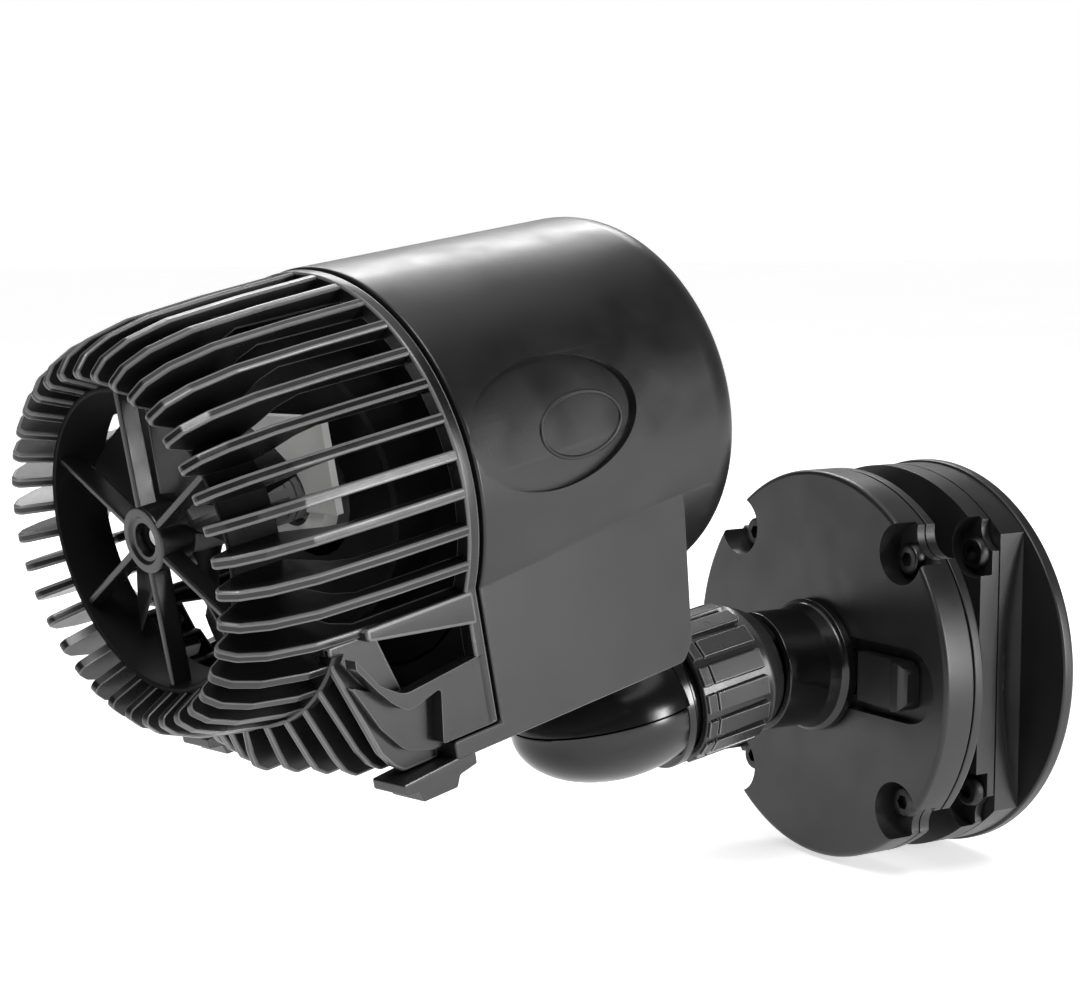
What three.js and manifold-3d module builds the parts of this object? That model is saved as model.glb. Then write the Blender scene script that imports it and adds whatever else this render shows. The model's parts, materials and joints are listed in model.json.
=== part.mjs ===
// Wave maker pump on a two-part magnetic glass mount. Millimetres, +Z up.
// Row frame: origin at the centre of the wet pad's glass face, +X into the glass.
// Three working frames are used and baked into the geometry:
//   disc frame  = row frame (magnet bases, neck with its ball)
//   arm frame   = origin at the ball, X along the spigot, tipped by TILT
//   pump frame  = origin at the outlet ring, X along the motor axis towards the rear
import * as THREE from 'three';
import { mergeVertices } from 'three/addons/utils/BufferGeometryUtils.js';
import Module from 'manifold-3d';

const wasm = await Module();
wasm.setup();

// ---------- driving dimensions ----------
const GAP = 0.3;                // air between touching pieces
const GLASS = 5.0;              // pane the two halves are clamped on
const DISC_R = 34.0;
const PAD_PROUD = 1.5;          // pad stands this far out of its rim
const WET_FRONT = -9.8;         // pump-side face of the wet half
const WET_SPLIT = -3.6;         // cover meets closing plate
const WET_BACK = -PAD_PROUD;
const DRY_FRONT = GLASS + PAD_PROUD;
const DRY_SPLIT = 10.75;        // front cover meets outer shell
const DRY_POCKET_FLOOR = 9.1;
const FLANGE_X = 16.2;          // finger flange starts here
const DRY_BACK = 20.0;
const FLANGE_R = 34.5;
const GRIP_HALF = 24.0;         // half width across the grip flats
const POCKET_PITCH_R = 31.1;
const POCKET_R = 5.2;
const POCKET_FLOOR = 4.5;
const NOTCH_PITCH_R = 35.8;      // rim notches that run through every layer
const NOTCH_R = 4.2;
const SCREW_PITCH_R = 29.4;
const SCREW_HEAD_R = 2.7;
const SCREW_SHANK_R = 1.3;
const SCREW_HEAD_HEIGHT = 1.6;

const BALL_X = -31.3;           // ball centre on the disc axis
const BALL_R = 8.6;
const STEM_R = 4.2;
const NECK_R = 10.2;
const NECK_RIM_X = -23.4;
const NECK_PLUG_R = 9.6;
const CUP_R = 12.3;             // cup in the neck's end
const NUT_END_R = 12.0;         // rounded end of the nut that runs in the cup
const SPIGOT_R = 10.2;          // threaded length under the nut
const COLLAR_REAR = -15.0;      // collar the elbow cap closes against
const STEM_TOP = 13.0;          // top of the elbow's upright stem
const ELBOW_R = 9.6;
const SCREW_SEAT_Z = 9.0;       // web under the swivel screw's head
const SWIVEL_HEAD_R = 3.2;
const SWIVEL_SHANK_R = 1.5;
const CORE_R = 7.6;             // solid core inside the elbow cap
const ELBOW_HALVES = [18.2, 14.2, 10.6];  // half sizes of the flattened ball
const ELBOW_SPLIT = 1.35;       // height where cap meets elbow

const TILT = THREE.MathUtils.degToRad(10.4);    // spigot and pump nose-down
const SWIVEL = THREE.MathUtils.degToRad(10.0);  // pump turned on the elbow
const ARM_LENGTH = 22.7;        // ball centre to swivel axis
const SWIVEL_X = 80.6;          // swivel axis in the pump frame
const SPIGOT_Z = -51.9;         // spigot axis in the pump frame

const OUTLET_R = 22.1;          // outlet ring, outside
const DUCT_R = 21.0;            // duct bore
const DUCT_REAR = 8.3;
const FIN_COUNT = 36;
const FIN_PITCH = 360 / FIN_COUNT;  // degrees
const PANEL_COUNT = 5;          // groups of full-length fins
const PANEL_LIMIT = 125;        // degrees from the top to the chin
const PANEL_SPAN = (2 * PANEL_LIMIT) / PANEL_COUNT;
const CHIN_BOTTOM = -38.3;
const FIN_TIP = -4.8;
const FIN_THICK = 1.5;
const CAGE_R = 31.5;
const SEAM_X = 35.6;            // cage meets housing
const FRAME_X = 33.2;           // front of the cage's rear frame
const BARREL_FRONT_R = 31.7;
const BARREL_REAR_R = 30.3;
const BARREL_REAR = 92.5;
const CAVITY_R = 28.3;
const INSET_X = 52.5;           // oval press mark on the barrel's near side
const INSET_HALF_LENGTH = 16.5;
const INSET_HALF_WIDTH = 9.6;
const INSET_LIFT = THREE.MathUtils.degToRad(10.5);
const BLOCK_HALF = 28.0;
const BLOCK_BOTTOM = -37.4;
const BLOCK_REAR = 78.1;
const TONGUE_X = 27.0;
const TONGUE_TOP = -34.6;
const FOOT_BOTTOM = -41.2;

const HUB_R = 4.9;
const HUB_REAR = 6.0;
const SHAFT_R = 1.5;
const BLADE_COUNT = 5;
const BLADE_TIP_R = 19.8;
const BLADE_FRONT = 4.8;
const BLADE_LENGTH = 10.4;
const BLADE_TWIST = 0.95;       // radians swept over the blade length
const GLAND_Z = 10.0;           // cable inlet above the motor axis
const GLAND_R = 4.1;
const GLAND_INNER = 86.2;       // flange of the gland, inside the rear wall
const GLAND_FLANGE_R = 6.4;
const CORD_R = 2.6;             // hole left for the cord
const IMPELLER_REAR = 24.6;
const SLEEVE_R = 3.9;
const NOSE_R = 20.5;
const NOSE_FRONT = 29.2;
const WELL_R = 10.2;
const KEEPER_FRONT = 25.6;
const KEEPER_HALF = 11.6;
const KEEPER_TOP = 12.0;
const WELL_REAR = 74.0;
const ROTOR_R = 9.2;

const WIDE = 40;                // facets round the large turned shapes
const MID = 24;
const FINE = 12;                // facets round the small ones
const BARREL_FACETS = 64;

// ---------- frames ----------
const spinY = (a) => new THREE.Matrix4().makeRotationY(a);
const spinZ = (a) => new THREE.Matrix4().makeRotationZ(a);
const shift = (x, y, z) => new THREE.Matrix4().makeTranslation(x, y, z);
const DISC_FRAME = new THREE.Matrix4();
const ARM_FRAME = shift(BALL_X, 0, 0).multiply(spinY(-TILT));
const PUMP_FRAME = ARM_FRAME.clone()
  .multiply(shift(-ARM_LENGTH, 0, 0))
  .multiply(spinZ(SWIVEL))
  .multiply(shift(-SWIVEL_X, 0, -SPIGOT_Z));

// ---------- solids ----------
function cleanMesh(source) {
  const geometry = source.clone();
  geometry.deleteAttribute('normal');
  geometry.deleteAttribute('uv');
  const welded = mergeVertices(geometry, 1e-4);
  const position = welded.attributes.position.array;
  const index = welded.index.array;
  const kept = [];
  let volume = 0;
  const a = new THREE.Vector3();
  const b = new THREE.Vector3();
  const c = new THREE.Vector3();
  for (let i = 0; i < index.length; i += 3) {
    const [p, q, r] = [index[i], index[i + 1], index[i + 2]];
    if (p === q || q === r || r === p) continue;
    a.fromArray(position, 3 * p);
    b.fromArray(position, 3 * q);
    c.fromArray(position, 3 * r);
    volume += a.dot(b.cross(c));
    kept.push(p, q, r);
  }
  if (volume < 0) {
    for (let i = 0; i < kept.length; i += 3) {
      const swap = kept[i];
      kept[i] = kept[i + 1];
      kept[i + 1] = swap;
    }
  }
  return new wasm.Mesh({
    numProp: 3,
    vertProperties: new Float32Array(position),
    triVerts: new Uint32Array(kept),
  });
}

const solid = (geometry) => new wasm.Manifold(cleanMesh(geometry));
const join = (first, ...rest) => rest.reduce((sum, s) => sum.add(s), first);
const cut = (first, ...rest) => rest.reduce((sum, s) => sum.subtract(s), first);

// profile: [x, radius] pairs turned about +X
function turned(profile, segments = WIDE) {
  const points = profile.map(([x, r]) => new THREE.Vector2(Math.max(r, 0), x));
  const geometry = new THREE.LatheGeometry(points, segments);
  geometry.rotateZ(-Math.PI / 2);
  return solid(geometry);
}

// profile: [z, radius] pairs turned about a vertical line through (x, y)
function turnedUp(profile, x, y, segments = MID) {
  const points = profile.map(([z, r]) => new THREE.Vector2(Math.max(r, 0), z));
  const geometry = new THREE.LatheGeometry(points, segments);
  geometry.rotateX(Math.PI / 2);
  geometry.translate(x, y, 0);
  return solid(geometry);
}

const disc = (x0, x1, r, segments = WIDE) => turned([[x0, 0], [x0, r], [x1, r], [x1, 0]], segments);
const tube = (x0, x1, inner, outer, segments = WIDE) => turned(
  [[x0, inner], [x0, outer], [x1, outer], [x1, inner], [x0, inner]], segments);
const column = (z0, z1, r, x, y, segments = MID) => turnedUp(
  [[z0, 0], [z0, r], [z1, r], [z1, 0]], x, y, segments);

function rod(x0, x1, r, y, z, segments = FINE) {
  const geometry = new THREE.CylinderGeometry(r, r, x1 - x0, segments);
  geometry.rotateZ(-Math.PI / 2);
  geometry.translate((x0 + x1) / 2, y, z);
  return solid(geometry);
}

function block(x0, x1, y0, y1, z0, z1) {
  const geometry = new THREE.BoxGeometry(x1 - x0, y1 - y0, z1 - z0);
  geometry.translate((x0 + x1) / 2, (y0 + y1) / 2, (z0 + z1) / 2);
  return solid(geometry);
}

// outline in Y-Z, pulled along X
function pullX(shape, x0, x1, curveSegments = 24) {
  const geometry = new THREE.ExtrudeGeometry(shape, { depth: x1 - x0, bevelEnabled: false, curveSegments });
  geometry.applyMatrix4(new THREE.Matrix4().makeBasis(
    new THREE.Vector3(0, 1, 0), new THREE.Vector3(0, 0, 1), new THREE.Vector3(1, 0, 0)));
  geometry.translate(x0, 0, 0);
  return geometry;
}

// outline in X-Z, pulled along Y
function pullY(points, y0, y1) {
  const shape = new THREE.Shape(points.map(([x, z]) => new THREE.Vector2(x, z)));
  const geometry = new THREE.ExtrudeGeometry(shape, { depth: y1 - y0, bevelEnabled: false });
  geometry.rotateX(Math.PI / 2);
  geometry.translate(0, y1, 0);
  return geometry;
}

function aroundX(geometry, angle) {
  return geometry.clone().rotateX(angle);
}

// ---------- group and materials ----------
const part = new THREE.Group();
part.name = 'wave_maker_pump';

const FINISHES = {
  abs_satin: [0x1c1c1d, 0.42, 0.0],
  abs_matte: [0x222223, 0.6, 0.0],
  abs_gloss: [0x0e0e0f, 0.22, 0.0],
  pale_plastic: [0xb9bab8, 0.4, 0.0],
  grey_plastic: [0x4a4b4c, 0.45, 0.0],
  rubber: [0x101011, 0.85, 0.0],
  magnet: [0x6d6e70, 0.35, 0.9],
  steel: [0xa9abad, 0.3, 0.95],
  ceramic: [0xe9e7e1, 0.3, 0.0],
  copper: [0xa5592c, 0.4, 0.8],
  epoxy: [0x151515, 0.5, 0.0],
};

function finish(name) {
  const [color, roughness, metalness] = FINISHES[name];
  return new THREE.MeshStandardMaterial({ name, color, roughness, metalness });
}

function addPart(name, body, finishName, frame) {
  const mesh = body.getMesh();
  const geometry = new THREE.BufferGeometry();
  geometry.setAttribute('position', new THREE.BufferAttribute(new Float32Array(mesh.vertProperties), 3));
  geometry.setIndex(new THREE.BufferAttribute(new Uint32Array(mesh.triVerts), 1));
  geometry.applyMatrix4(frame);
  geometry.computeVertexNormals();
  const node = new THREE.Mesh(geometry, finish(finishName));
  node.name = name;
  part.add(node);
}

// ---------- magnet bases ----------
const DIAGONALS = [45, 135, 225, 315].map((a) => THREE.MathUtils.degToRad(a));
const atAngle = (r, a) => [r * Math.cos(a), r * Math.sin(a)];

// disc outline with two straight grip sides at y = +-half
function flattedDisc(r, half) {
  const corner = Math.acos(half / r);
  const shape = new THREE.Shape();
  shape.absarc(0, 0, r, corner, Math.PI - corner, false);
  shape.absarc(0, 0, r, Math.PI + corner, 2 * Math.PI - corner, false);
  shape.closePath();
  return shape;
}

function pockets(x0, x1, r, pitch) {
  return DIAGONALS.map((a) => rod(x0, x1, r, ...atAngle(pitch, a)));
}

function screwHoles(x0, x1) {
  return DIAGONALS.map((a) => rod(x0, x1, SCREW_SHANK_R + GAP, ...atAngle(SCREW_PITCH_R, a), 8));
}

function latchRecess(x0, x1) {
  const slot = block(x0, x1, -24.5, -9.0, -6.3, 6.3);
  return join(slot, rod(x0, x1, 6.3, -24.5, 0, MID));
}

function wetCover() {
  const edge = 0.6;
  let body = turned([
    [WET_SPLIT - 0.15, 0], [WET_SPLIT - 0.15, DISC_R], [WET_FRONT + edge, DISC_R],
    [WET_FRONT, DISC_R - edge], [WET_FRONT, 0],
  ]);
  body = cut(body, disc(WET_FRONT + 2.6, WET_SPLIT, 24.4));
  body = cut(body, disc(WET_FRONT - 1, WET_SPLIT, NECK_PLUG_R + GAP, MID));
  body = cut(body, ...pockets(WET_FRONT - 1, WET_FRONT + POCKET_FLOOR, POCKET_R, POCKET_PITCH_R));
  body = cut(body, ...pockets(WET_FRONT - 1, WET_BACK, NOTCH_R, NOTCH_PITCH_R));
  body = cut(body, ...screwHoles(-6, -3));
  return cut(body, latchRecess(WET_FRONT - 1, WET_FRONT + 1.9));
}

function wetBase() {
  let body = turned([
    [WET_SPLIT + 0.15, 0], [WET_SPLIT + 0.15, DISC_R], [WET_BACK - 0.4, DISC_R],
    [WET_BACK, DISC_R - 0.4], [WET_BACK, 0],
  ]);
  body = cut(body, ...pockets(WET_SPLIT - 1, WET_BACK + 1, NOTCH_R, NOTCH_PITCH_R));
  return cut(body, ...screwHoles(-4, -0.5));
}

// domed head with a hexagon socket, head at x0, shank towards +x
function screw(x0, length, y, z) {
  const profile = [
    [0, 0], [0, SCREW_HEAD_R - 0.5], [0.5, SCREW_HEAD_R], [SCREW_HEAD_HEIGHT, SCREW_HEAD_R],
    [SCREW_HEAD_HEIGHT, SCREW_SHANK_R], [length, SCREW_SHANK_R], [length, 0],
  ];
  const body = cut(turned(profile, 12), rod(-1, 1.0, 1.3, 0, 0, 6));
  return body.translate([x0, y, z]);
}

function latchTab() {
  const outline = new THREE.Shape();
  outline.moveTo(-12.6, -4.2);
  outline.lineTo(-12.6, 4.2);
  outline.lineTo(-23.0, 4.2);
  outline.absarc(-23.0, 1.6, 2.6, Math.PI / 2, Math.PI, false);
  outline.lineTo(-25.6, -1.6);
  outline.absarc(-23.0, -1.6, 2.6, Math.PI, 1.5 * Math.PI, false);
  outline.closePath();
  const lip = new THREE.Shape();
  lip.absarc(-24.0, 0, 3.4, 0, 2 * Math.PI, false);
  const low = WET_FRONT + 1.9 - GAP;
  const body = solid(pullX(outline, WET_FRONT - 0.9, low, 8));
  const raised = solid(pullX(lip, WET_FRONT - 2.3, low, 8));
  const trim = block(WET_FRONT - 3, low + 1, -25.6, -22.3, -4.0, 4.0);
  return join(body, raised.intersect(trim));
}

function magnetRing(x0, x1, inner, outer) {
  const c = 0.4;
  return turned([
    [x0, inner], [x0, outer - c], [x0 + c, outer], [x1, outer], [x1, inner], [x0, inner],
  ], 36);
}

function dryCover() {
  let body = solid(pullX(flattedDisc(DISC_R, GRIP_HALF), DRY_FRONT, DRY_SPLIT - 0.15, FINE));
  body = cut(body, ...pockets(DRY_FRONT - 1, DRY_POCKET_FLOOR, POCKET_R, POCKET_PITCH_R));
  body = cut(body, ...pockets(DRY_FRONT - 1, DRY_SPLIT + 1, NOTCH_R, NOTCH_PITCH_R));
  body = cut(body, ...screwHoles(DRY_FRONT, DRY_SPLIT));
  return cut(body, disc(DRY_SPLIT - 2.1, DRY_SPLIT, 21.2));
}

function fingerScoop(side) {
  const profile = [];
  const steps = 10;
  for (let i = 0; i <= steps; i += 1) {
    const z = -GRIP_HALF + (2 * GRIP_HALF * i) / steps;
    profile.push([z, 4.2 * (1 - (z / GRIP_HALF) ** 2)]);
  }
  const spindle = turnedUp(profile, FLANGE_X, side * GRIP_HALF, 20);
  return spindle.intersect(block(DRY_SPLIT, FLANGE_X, side * GRIP_HALF - 6, side * GRIP_HALF + 6, -30, 30));
}

function dryShell() {
  const drum = solid(pullX(flattedDisc(DISC_R, GRIP_HALF), DRY_SPLIT + 0.15, FLANGE_X + 0.5, FINE));
  const flange = turned([
    [FLANGE_X, 0], [FLANGE_X, FLANGE_R - 0.5], [FLANGE_X + 0.5, FLANGE_R], [18.3, FLANGE_R],
    [19.3, FLANGE_R - 0.8], [DRY_BACK, FLANGE_R - 3.2], [DRY_BACK, 0],
  ]);
  let body = join(drum, flange);
  body = cut(body, disc(DRY_SPLIT, FLANGE_X - 0.2, 21.2));
  body = cut(body, ...screwHoles(DRY_SPLIT, 17.6));
  return cut(body, fingerScoop(-1), fingerScoop(1));
}

function buildBases() {
  addPart('wet_cover', wetCover(), 'abs_satin', DISC_FRAME);
  addPart('wet_base_plate', wetBase(), 'abs_satin', DISC_FRAME);
  addPart('wet_magnet', magnetRing(WET_FRONT + 2.9, WET_SPLIT - 0.15, 11.5, 24.1), 'magnet', DISC_FRAME);
  addPart('wet_pad', turned([
    [WET_BACK + GAP, 0], [WET_BACK + GAP, 26.5], [-0.3, 26.5], [0, 26.2], [0, 0],
  ], 40), 'rubber', DISC_FRAME);
  DIAGONALS.forEach((a, i) => {
    const [y, z] = atAngle(SCREW_PITCH_R, a);
    const wetHead = WET_FRONT + POCKET_FLOOR - SCREW_HEAD_HEIGHT - GAP;
    const dryHead = DRY_POCKET_FLOOR - SCREW_HEAD_HEIGHT - GAP;
    addPart(`wet_screw_${i + 1}`, screw(wetHead, 5.2, y, z), 'steel', DISC_FRAME);
    addPart(`dry_screw_${i + 1}`, screw(dryHead, 9.0, y, z), 'steel', DISC_FRAME);
  });
  addPart('latch_tab', latchTab(), 'abs_satin', DISC_FRAME);
  addPart('dry_cover', dryCover(), 'abs_satin', DISC_FRAME);
  addPart('dry_shell', dryShell(), 'abs_satin', DISC_FRAME);
  addPart('dry_magnet', magnetRing(DRY_SPLIT - 1.8, FLANGE_X - 0.5, 6.0, 20.9), 'magnet', DISC_FRAME);
  addPart('dry_pad', turned([
    [GLASS, 0], [GLASS, 22.7], [GLASS + 0.3, 23.0], [DRY_FRONT - GAP, 23.0], [DRY_FRONT - GAP, 0],
  ], 40), 'rubber', DISC_FRAME);
}

// ---------- neck, nut, elbow ----------
function arc(center, r, from, to, steps) {
  const points = [];
  for (let i = 0; i <= steps; i += 1) {
    const a = from + ((to - from) * i) / steps;
    points.push([center + r * Math.cos(a), r * Math.sin(a)]);
  }
  return points;
}

function neckBall() {
  const stemJoin = Math.asin(STEM_R / BALL_R);
  const cupRim = Math.acos((NECK_RIM_X - BALL_X) / CUP_R);
  const cupFloor = Math.asin(STEM_R / CUP_R);
  const groove = WET_FRONT + 2.6 + GAP;
  return turned([
    ...arc(BALL_X, BALL_R, Math.PI, stemJoin, 9),
    ...arc(BALL_X, CUP_R, cupFloor, cupRim, 4),
    [NECK_RIM_X + 0.4, NECK_R],
    [-14.6, NECK_R], [-12.2, 10.7], [-11.6, 11.6], [WET_FRONT - GAP, 11.6],
    [WET_FRONT - GAP, NECK_PLUG_R], [groove - 0.15, NECK_PLUG_R], [groove - 0.15, NECK_PLUG_R - 0.7],
    [groove + 1.15, NECK_PLUG_R - 0.7], [groove + 1.15, NECK_PLUG_R], [WET_SPLIT - 1.2, NECK_PLUG_R],
    [WET_SPLIT - 1.2, 0],
  ], MID);
}

function neckClip() {
  const front = WET_FRONT + 2.6 + GAP;
  return tube(front, front + 1.0, NECK_PLUG_R - 0.4, NECK_PLUG_R + 1.2, 24);
}

function clampNut() {
  const shell = turned([
    [-10.8, 10.6], [-10.8, 11.7], [3.3, 11.2], ...arc(0, NUT_END_R, 1.24, 0.93, 3),
    ...arc(0, BALL_R + GAP, 0.96, Math.PI / 2, 4), [-0.3, 10.6], [-10.8, 10.6],
  ], 32);
  const ribCount = 16;
  const ribs = [];
  const bar = new THREE.Shape();
  bar.moveTo(-1.75, 10.9);
  bar.lineTo(1.75, 10.9);
  bar.lineTo(1.55, 12.2);
  bar.lineTo(-1.55, 12.2);
  bar.closePath();
  const long = pullX(bar, -8.2, 2.2);
  const short = pullX(bar, -10.3, -8.6);
  for (let i = 0; i < ribCount; i += 1) {
    const angle = (2 * Math.PI * i) / ribCount;
    ribs.push(solid(aroundX(long, angle)), solid(aroundX(short, angle)));
  }
  return join(shell, ...ribs);
}

// upright stem, collar and threaded spigot; the lower rear is left to the cap
function elbowArm() {
  const spigot = turned([
    [-19.0, 0], [-19.0, CORE_R], [COLLAR_REAR, CORE_R], [COLLAR_REAR, 10.9], [-14.6, 11.9], [-12.9, 11.9],
    [-12.6, 11.5], [-12.6, SPIGOT_R], [-1.0, SPIGOT_R], ...arc(0, BALL_R + GAP, 1.68, 2.35, 4),
    [-12.0, 6.3], [-12.0, 0],
  ]);
  const rear = block(-60, COLLAR_REAR + 0.3, -30, 30, ELBOW_SPLIT + GAP / 2, 30);
  const stem = turnedUp([
    [0, 0], [0, 12.6], [3, 12.6], [6.0, 11.2], [9.0, ELBOW_R], [STEM_TOP, ELBOW_R], [STEM_TOP, 0],
  ], -ARM_LENGTH, 0);
  const upper = join(flattenedBall(0), disc(-ARM_LENGTH, COLLAR_REAR + 0.3, 10.9), stem).intersect(rear);
  const core = column(-5.0, 5.0, CORE_R, -ARM_LENGTH, 0);
  const body = join(spigot, upper, core);
  return cut(body,
    column(-12, SCREW_SEAT_Z, SWIVEL_HEAD_R + 0.4, -ARM_LENGTH, 0, FINE),
    column(SCREW_SEAT_Z - 1, STEM_TOP + 1, SWIVEL_SHANK_R + 0.1, -ARM_LENGTH, 0, FINE));
}

// flattened ball centred a little in front of the swivel axis
function flattenedBall(inset) {
  const sphere = new THREE.SphereGeometry(1, 28, 14);
  sphere.rotateX(Math.PI / 2);
  sphere.scale(...ELBOW_HALVES.map((half) => half - inset));
  sphere.translate(-ARM_LENGTH + 1.2, 0, 0);
  return solid(sphere);
}

// hollow bowl closing the elbow from below
function elbowCap() {
  const wall = 1.8;
  const front = COLLAR_REAR - GAP;
  const outer = flattenedBall(0).intersect(block(-60, front, -30, 30, -30, ELBOW_SPLIT - GAP / 2));
  const hollow = flattenedBall(wall).intersect(block(-60, front - wall, -30, 30, -30, 30));
  const passage = disc(-19.3, front + 1, CORE_R + GAP, MID);
  return cut(outer, hollow, passage);
}

// acetal seat pressed into the spigot behind the ball
function ballPad() {
  return turned([
    [-11.7, 0], [-11.7, 6.0], ...arc(0, BALL_R + GAP, 2.4, Math.PI, 4),
  ], 24);
}

// pan-head screw that clamps the boss to the stem from below
function swivelScrew() {
  return turnedUp([
    [SCREW_SEAT_Z - 2.7, 0], [SCREW_SEAT_Z - 2.7, 2.6], [SCREW_SEAT_Z - 2.1, SWIVEL_HEAD_R],
    [SCREW_SEAT_Z - GAP, SWIVEL_HEAD_R], [SCREW_SEAT_Z - GAP, SWIVEL_SHANK_R],
    [20.5, SWIVEL_SHANK_R], [20.5, 0],
  ], -ARM_LENGTH, 0, FINE);
}

function swivelWasher() {
  return turnedUp([
    [STEM_TOP + GAP, 3.2], [STEM_TOP + GAP, 8.9], [STEM_TOP + 1.2, 8.9], [STEM_TOP + 1.2, 3.2],
    [STEM_TOP + GAP, 3.2],
  ], -ARM_LENGTH, 0, 24);
}

// ---------- pump ----------
function barrelProfile() {
  const nose = [];
  for (let i = 0; i <= 5; i += 1) {
    const a = (Math.PI / 2) * (i / 5);
    nose.push([BARREL_REAR - 7 + 7 * Math.sin(a), BARREL_REAR_R - 8 + 8 * Math.cos(a)]);
  }
  return [
    [SEAM_X + GAP, 0], [SEAM_X + GAP, BARREL_FRONT_R - 0.3], [SEAM_X + GAP + 0.3, BARREL_FRONT_R],
    ...nose, [BARREL_REAR, 0],
  ];
}

// oval press mark: its floor dips below the barrel's skin towards the rear
function ovalInset() {
  const oval = new THREE.Shape();
  oval.absellipse(0, 0, INSET_HALF_LENGTH, INSET_HALF_WIDTH, 0, 2 * Math.PI, false);
  const geometry = new THREE.ExtrudeGeometry(oval, { depth: 20, bevelEnabled: false, curveSegments: 16 });
  geometry.rotateX(Math.PI / 2);
  geometry.translate(INSET_X, -20, 0);
  geometry.rotateX(-INSET_LIFT);
  const rear = INSET_X + INSET_HALF_LENGTH + 2;
  const skin = turned([[35, 31.3], [35, 42], [rear, 42], [rear, 29.4], [35, 31.3]], BARREL_FACETS);
  return solid(geometry).intersect(skin);
}

// inside of the barrel from x0 back, drawn in by inset
function rearBowl(x0, inset) {
  return [
    [x0, 0], [x0, CAVITY_R - inset], [84, CAVITY_R - inset], [88.4 - inset, 24.4 - inset / 2],
    [90 - inset, 19.6], [90 - inset, 0],
  ];
}

// epoxy that fills the barrel's rear end, with a pocket for the gland's flange
function pottingPlug() {
  return cut(turned(rearBowl(77.5, GAP), 36), rod(GLAND_INNER - GAP, 91, GLAND_FLANGE_R + GAP, 0, GLAND_Z));
}

function motorHousing() {
  const underside = pullY([
    [SEAM_X + GAP, -10], [SEAM_X + GAP, TONGUE_TOP], [TONGUE_X + 0.6, TONGUE_TOP],
    [TONGUE_X, TONGUE_TOP - 0.6],
    [TONGUE_X, BLOCK_BOTTOM], [72.5, BLOCK_BOTTOM], [74.6, -36.6], [75.6, -34.6], [BLOCK_REAR, -14.0],
    [BLOCK_REAR, -10],
  ], -BLOCK_HALF, BLOCK_HALF);
  const boss = column(BLOCK_BOTTOM, -24, 9.8, SWIVEL_X, 0);
  let body = join(turned(barrelProfile(), BARREL_FACETS), solid(underside), boss);
  [-1, 1].forEach((side) => {
    const foot = pullY([
      [30.5, BLOCK_BOTTOM + 0.5], [17.2, BLOCK_BOTTOM - GAP], [17.2, -39.3], [19.6, -39.6],
      [20.2, FOOT_BOTTOM], [26.4, FOOT_BOTTOM], [27.2, -39.6], [30.5, -39.0],
    ], side > 0 ? 20.5 : -27.8, side > 0 ? 27.8 : -20.5);
    body = join(body, solid(foot));
  });
  body = cut(body, disc(SEAM_X - 1, 39.2, 29.3), turned(rearBowl(SEAM_X, 0)));
  body = cut(body, column(BLOCK_BOTTOM - 1, -30.2, SWIVEL_SHANK_R + 0.1, SWIVEL_X, 0, FINE));
  body = cut(body, rod(88, 94, GLAND_R + GAP, 0, GLAND_Z));
  return cut(body, ovalInset());
}

function rotorWell() {
  return turned([
    [NOSE_FRONT, WELL_R], [NOSE_FRONT, NOSE_R - 0.6], [NOSE_FRONT + 0.6, NOSE_R], [SEAM_X + 0.6, NOSE_R],
    [SEAM_X + 0.6, 28.9], [38.9, 28.9], [38.9, NOSE_R - 2], [NOSE_FRONT + 2, NOSE_R - 2],
    [NOSE_FRONT + 2, WELL_R + 1.2], [WELL_REAR, WELL_R + 1.2], [WELL_REAR, 0], [WELL_REAR - 1.5, 0],
    [WELL_REAR - 1.5, WELL_R], [NOSE_FRONT, WELL_R],
  ], MID);
}

// pale keeper plate that stands off the nose above the rotor's shaft
function rotorCover() {
  const face = NOSE_FRONT - GAP;
  const plate = block(KEEPER_FRONT, KEEPER_FRONT + 1.2, -KEEPER_HALF, KEEPER_HALF, -2.4, KEEPER_TOP);
  const standoff = disc(KEEPER_FRONT + 0.6, face, 8.0, MID);
  return cut(join(plate, standoff), disc(KEEPER_FRONT - 1, face + 1, 4.8, MID));
}

function ring(x, major, minor, segments = 32) {
  const profile = [];
  for (let i = 0; i <= 6; i += 1) {
    const a = (2 * Math.PI * i) / 6;
    profile.push([x + minor * Math.cos(a), major + minor * Math.sin(a)]);
  }
  return turned(profile, segments);
}

function statorCore() {
  let body = tube(46, 70, 23.0, 27.6, 36);
  for (let i = 0; i < 6; i += 1) {
    const angle = (Math.PI / 3) * i;
    const leg = new THREE.BoxGeometry(24, 5.0, 10.4);
    leg.translate(58, 0, 18.3);
    const shoe = new THREE.BoxGeometry(24, 9.2, 1.6);
    shoe.translate(58, 0, 13.2);
    body = join(body, solid(aroundX(leg, angle)), solid(aroundX(shoe, angle)));
  }
  return cut(body, disc(40, 76, WELL_R + 1.5, 36));
}

function coil(i) {
  const outer = new THREE.BoxGeometry(29, 8.8, 6.4);
  outer.translate(58, 0, 17.9);
  const inner = new THREE.BoxGeometry(24.6, 5.6, 10);
  inner.translate(58, 0, 17.9);
  const angle = (Math.PI / 3) * i;
  return cut(solid(aroundX(outer, angle)), solid(aroundX(inner, angle)));
}

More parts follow.
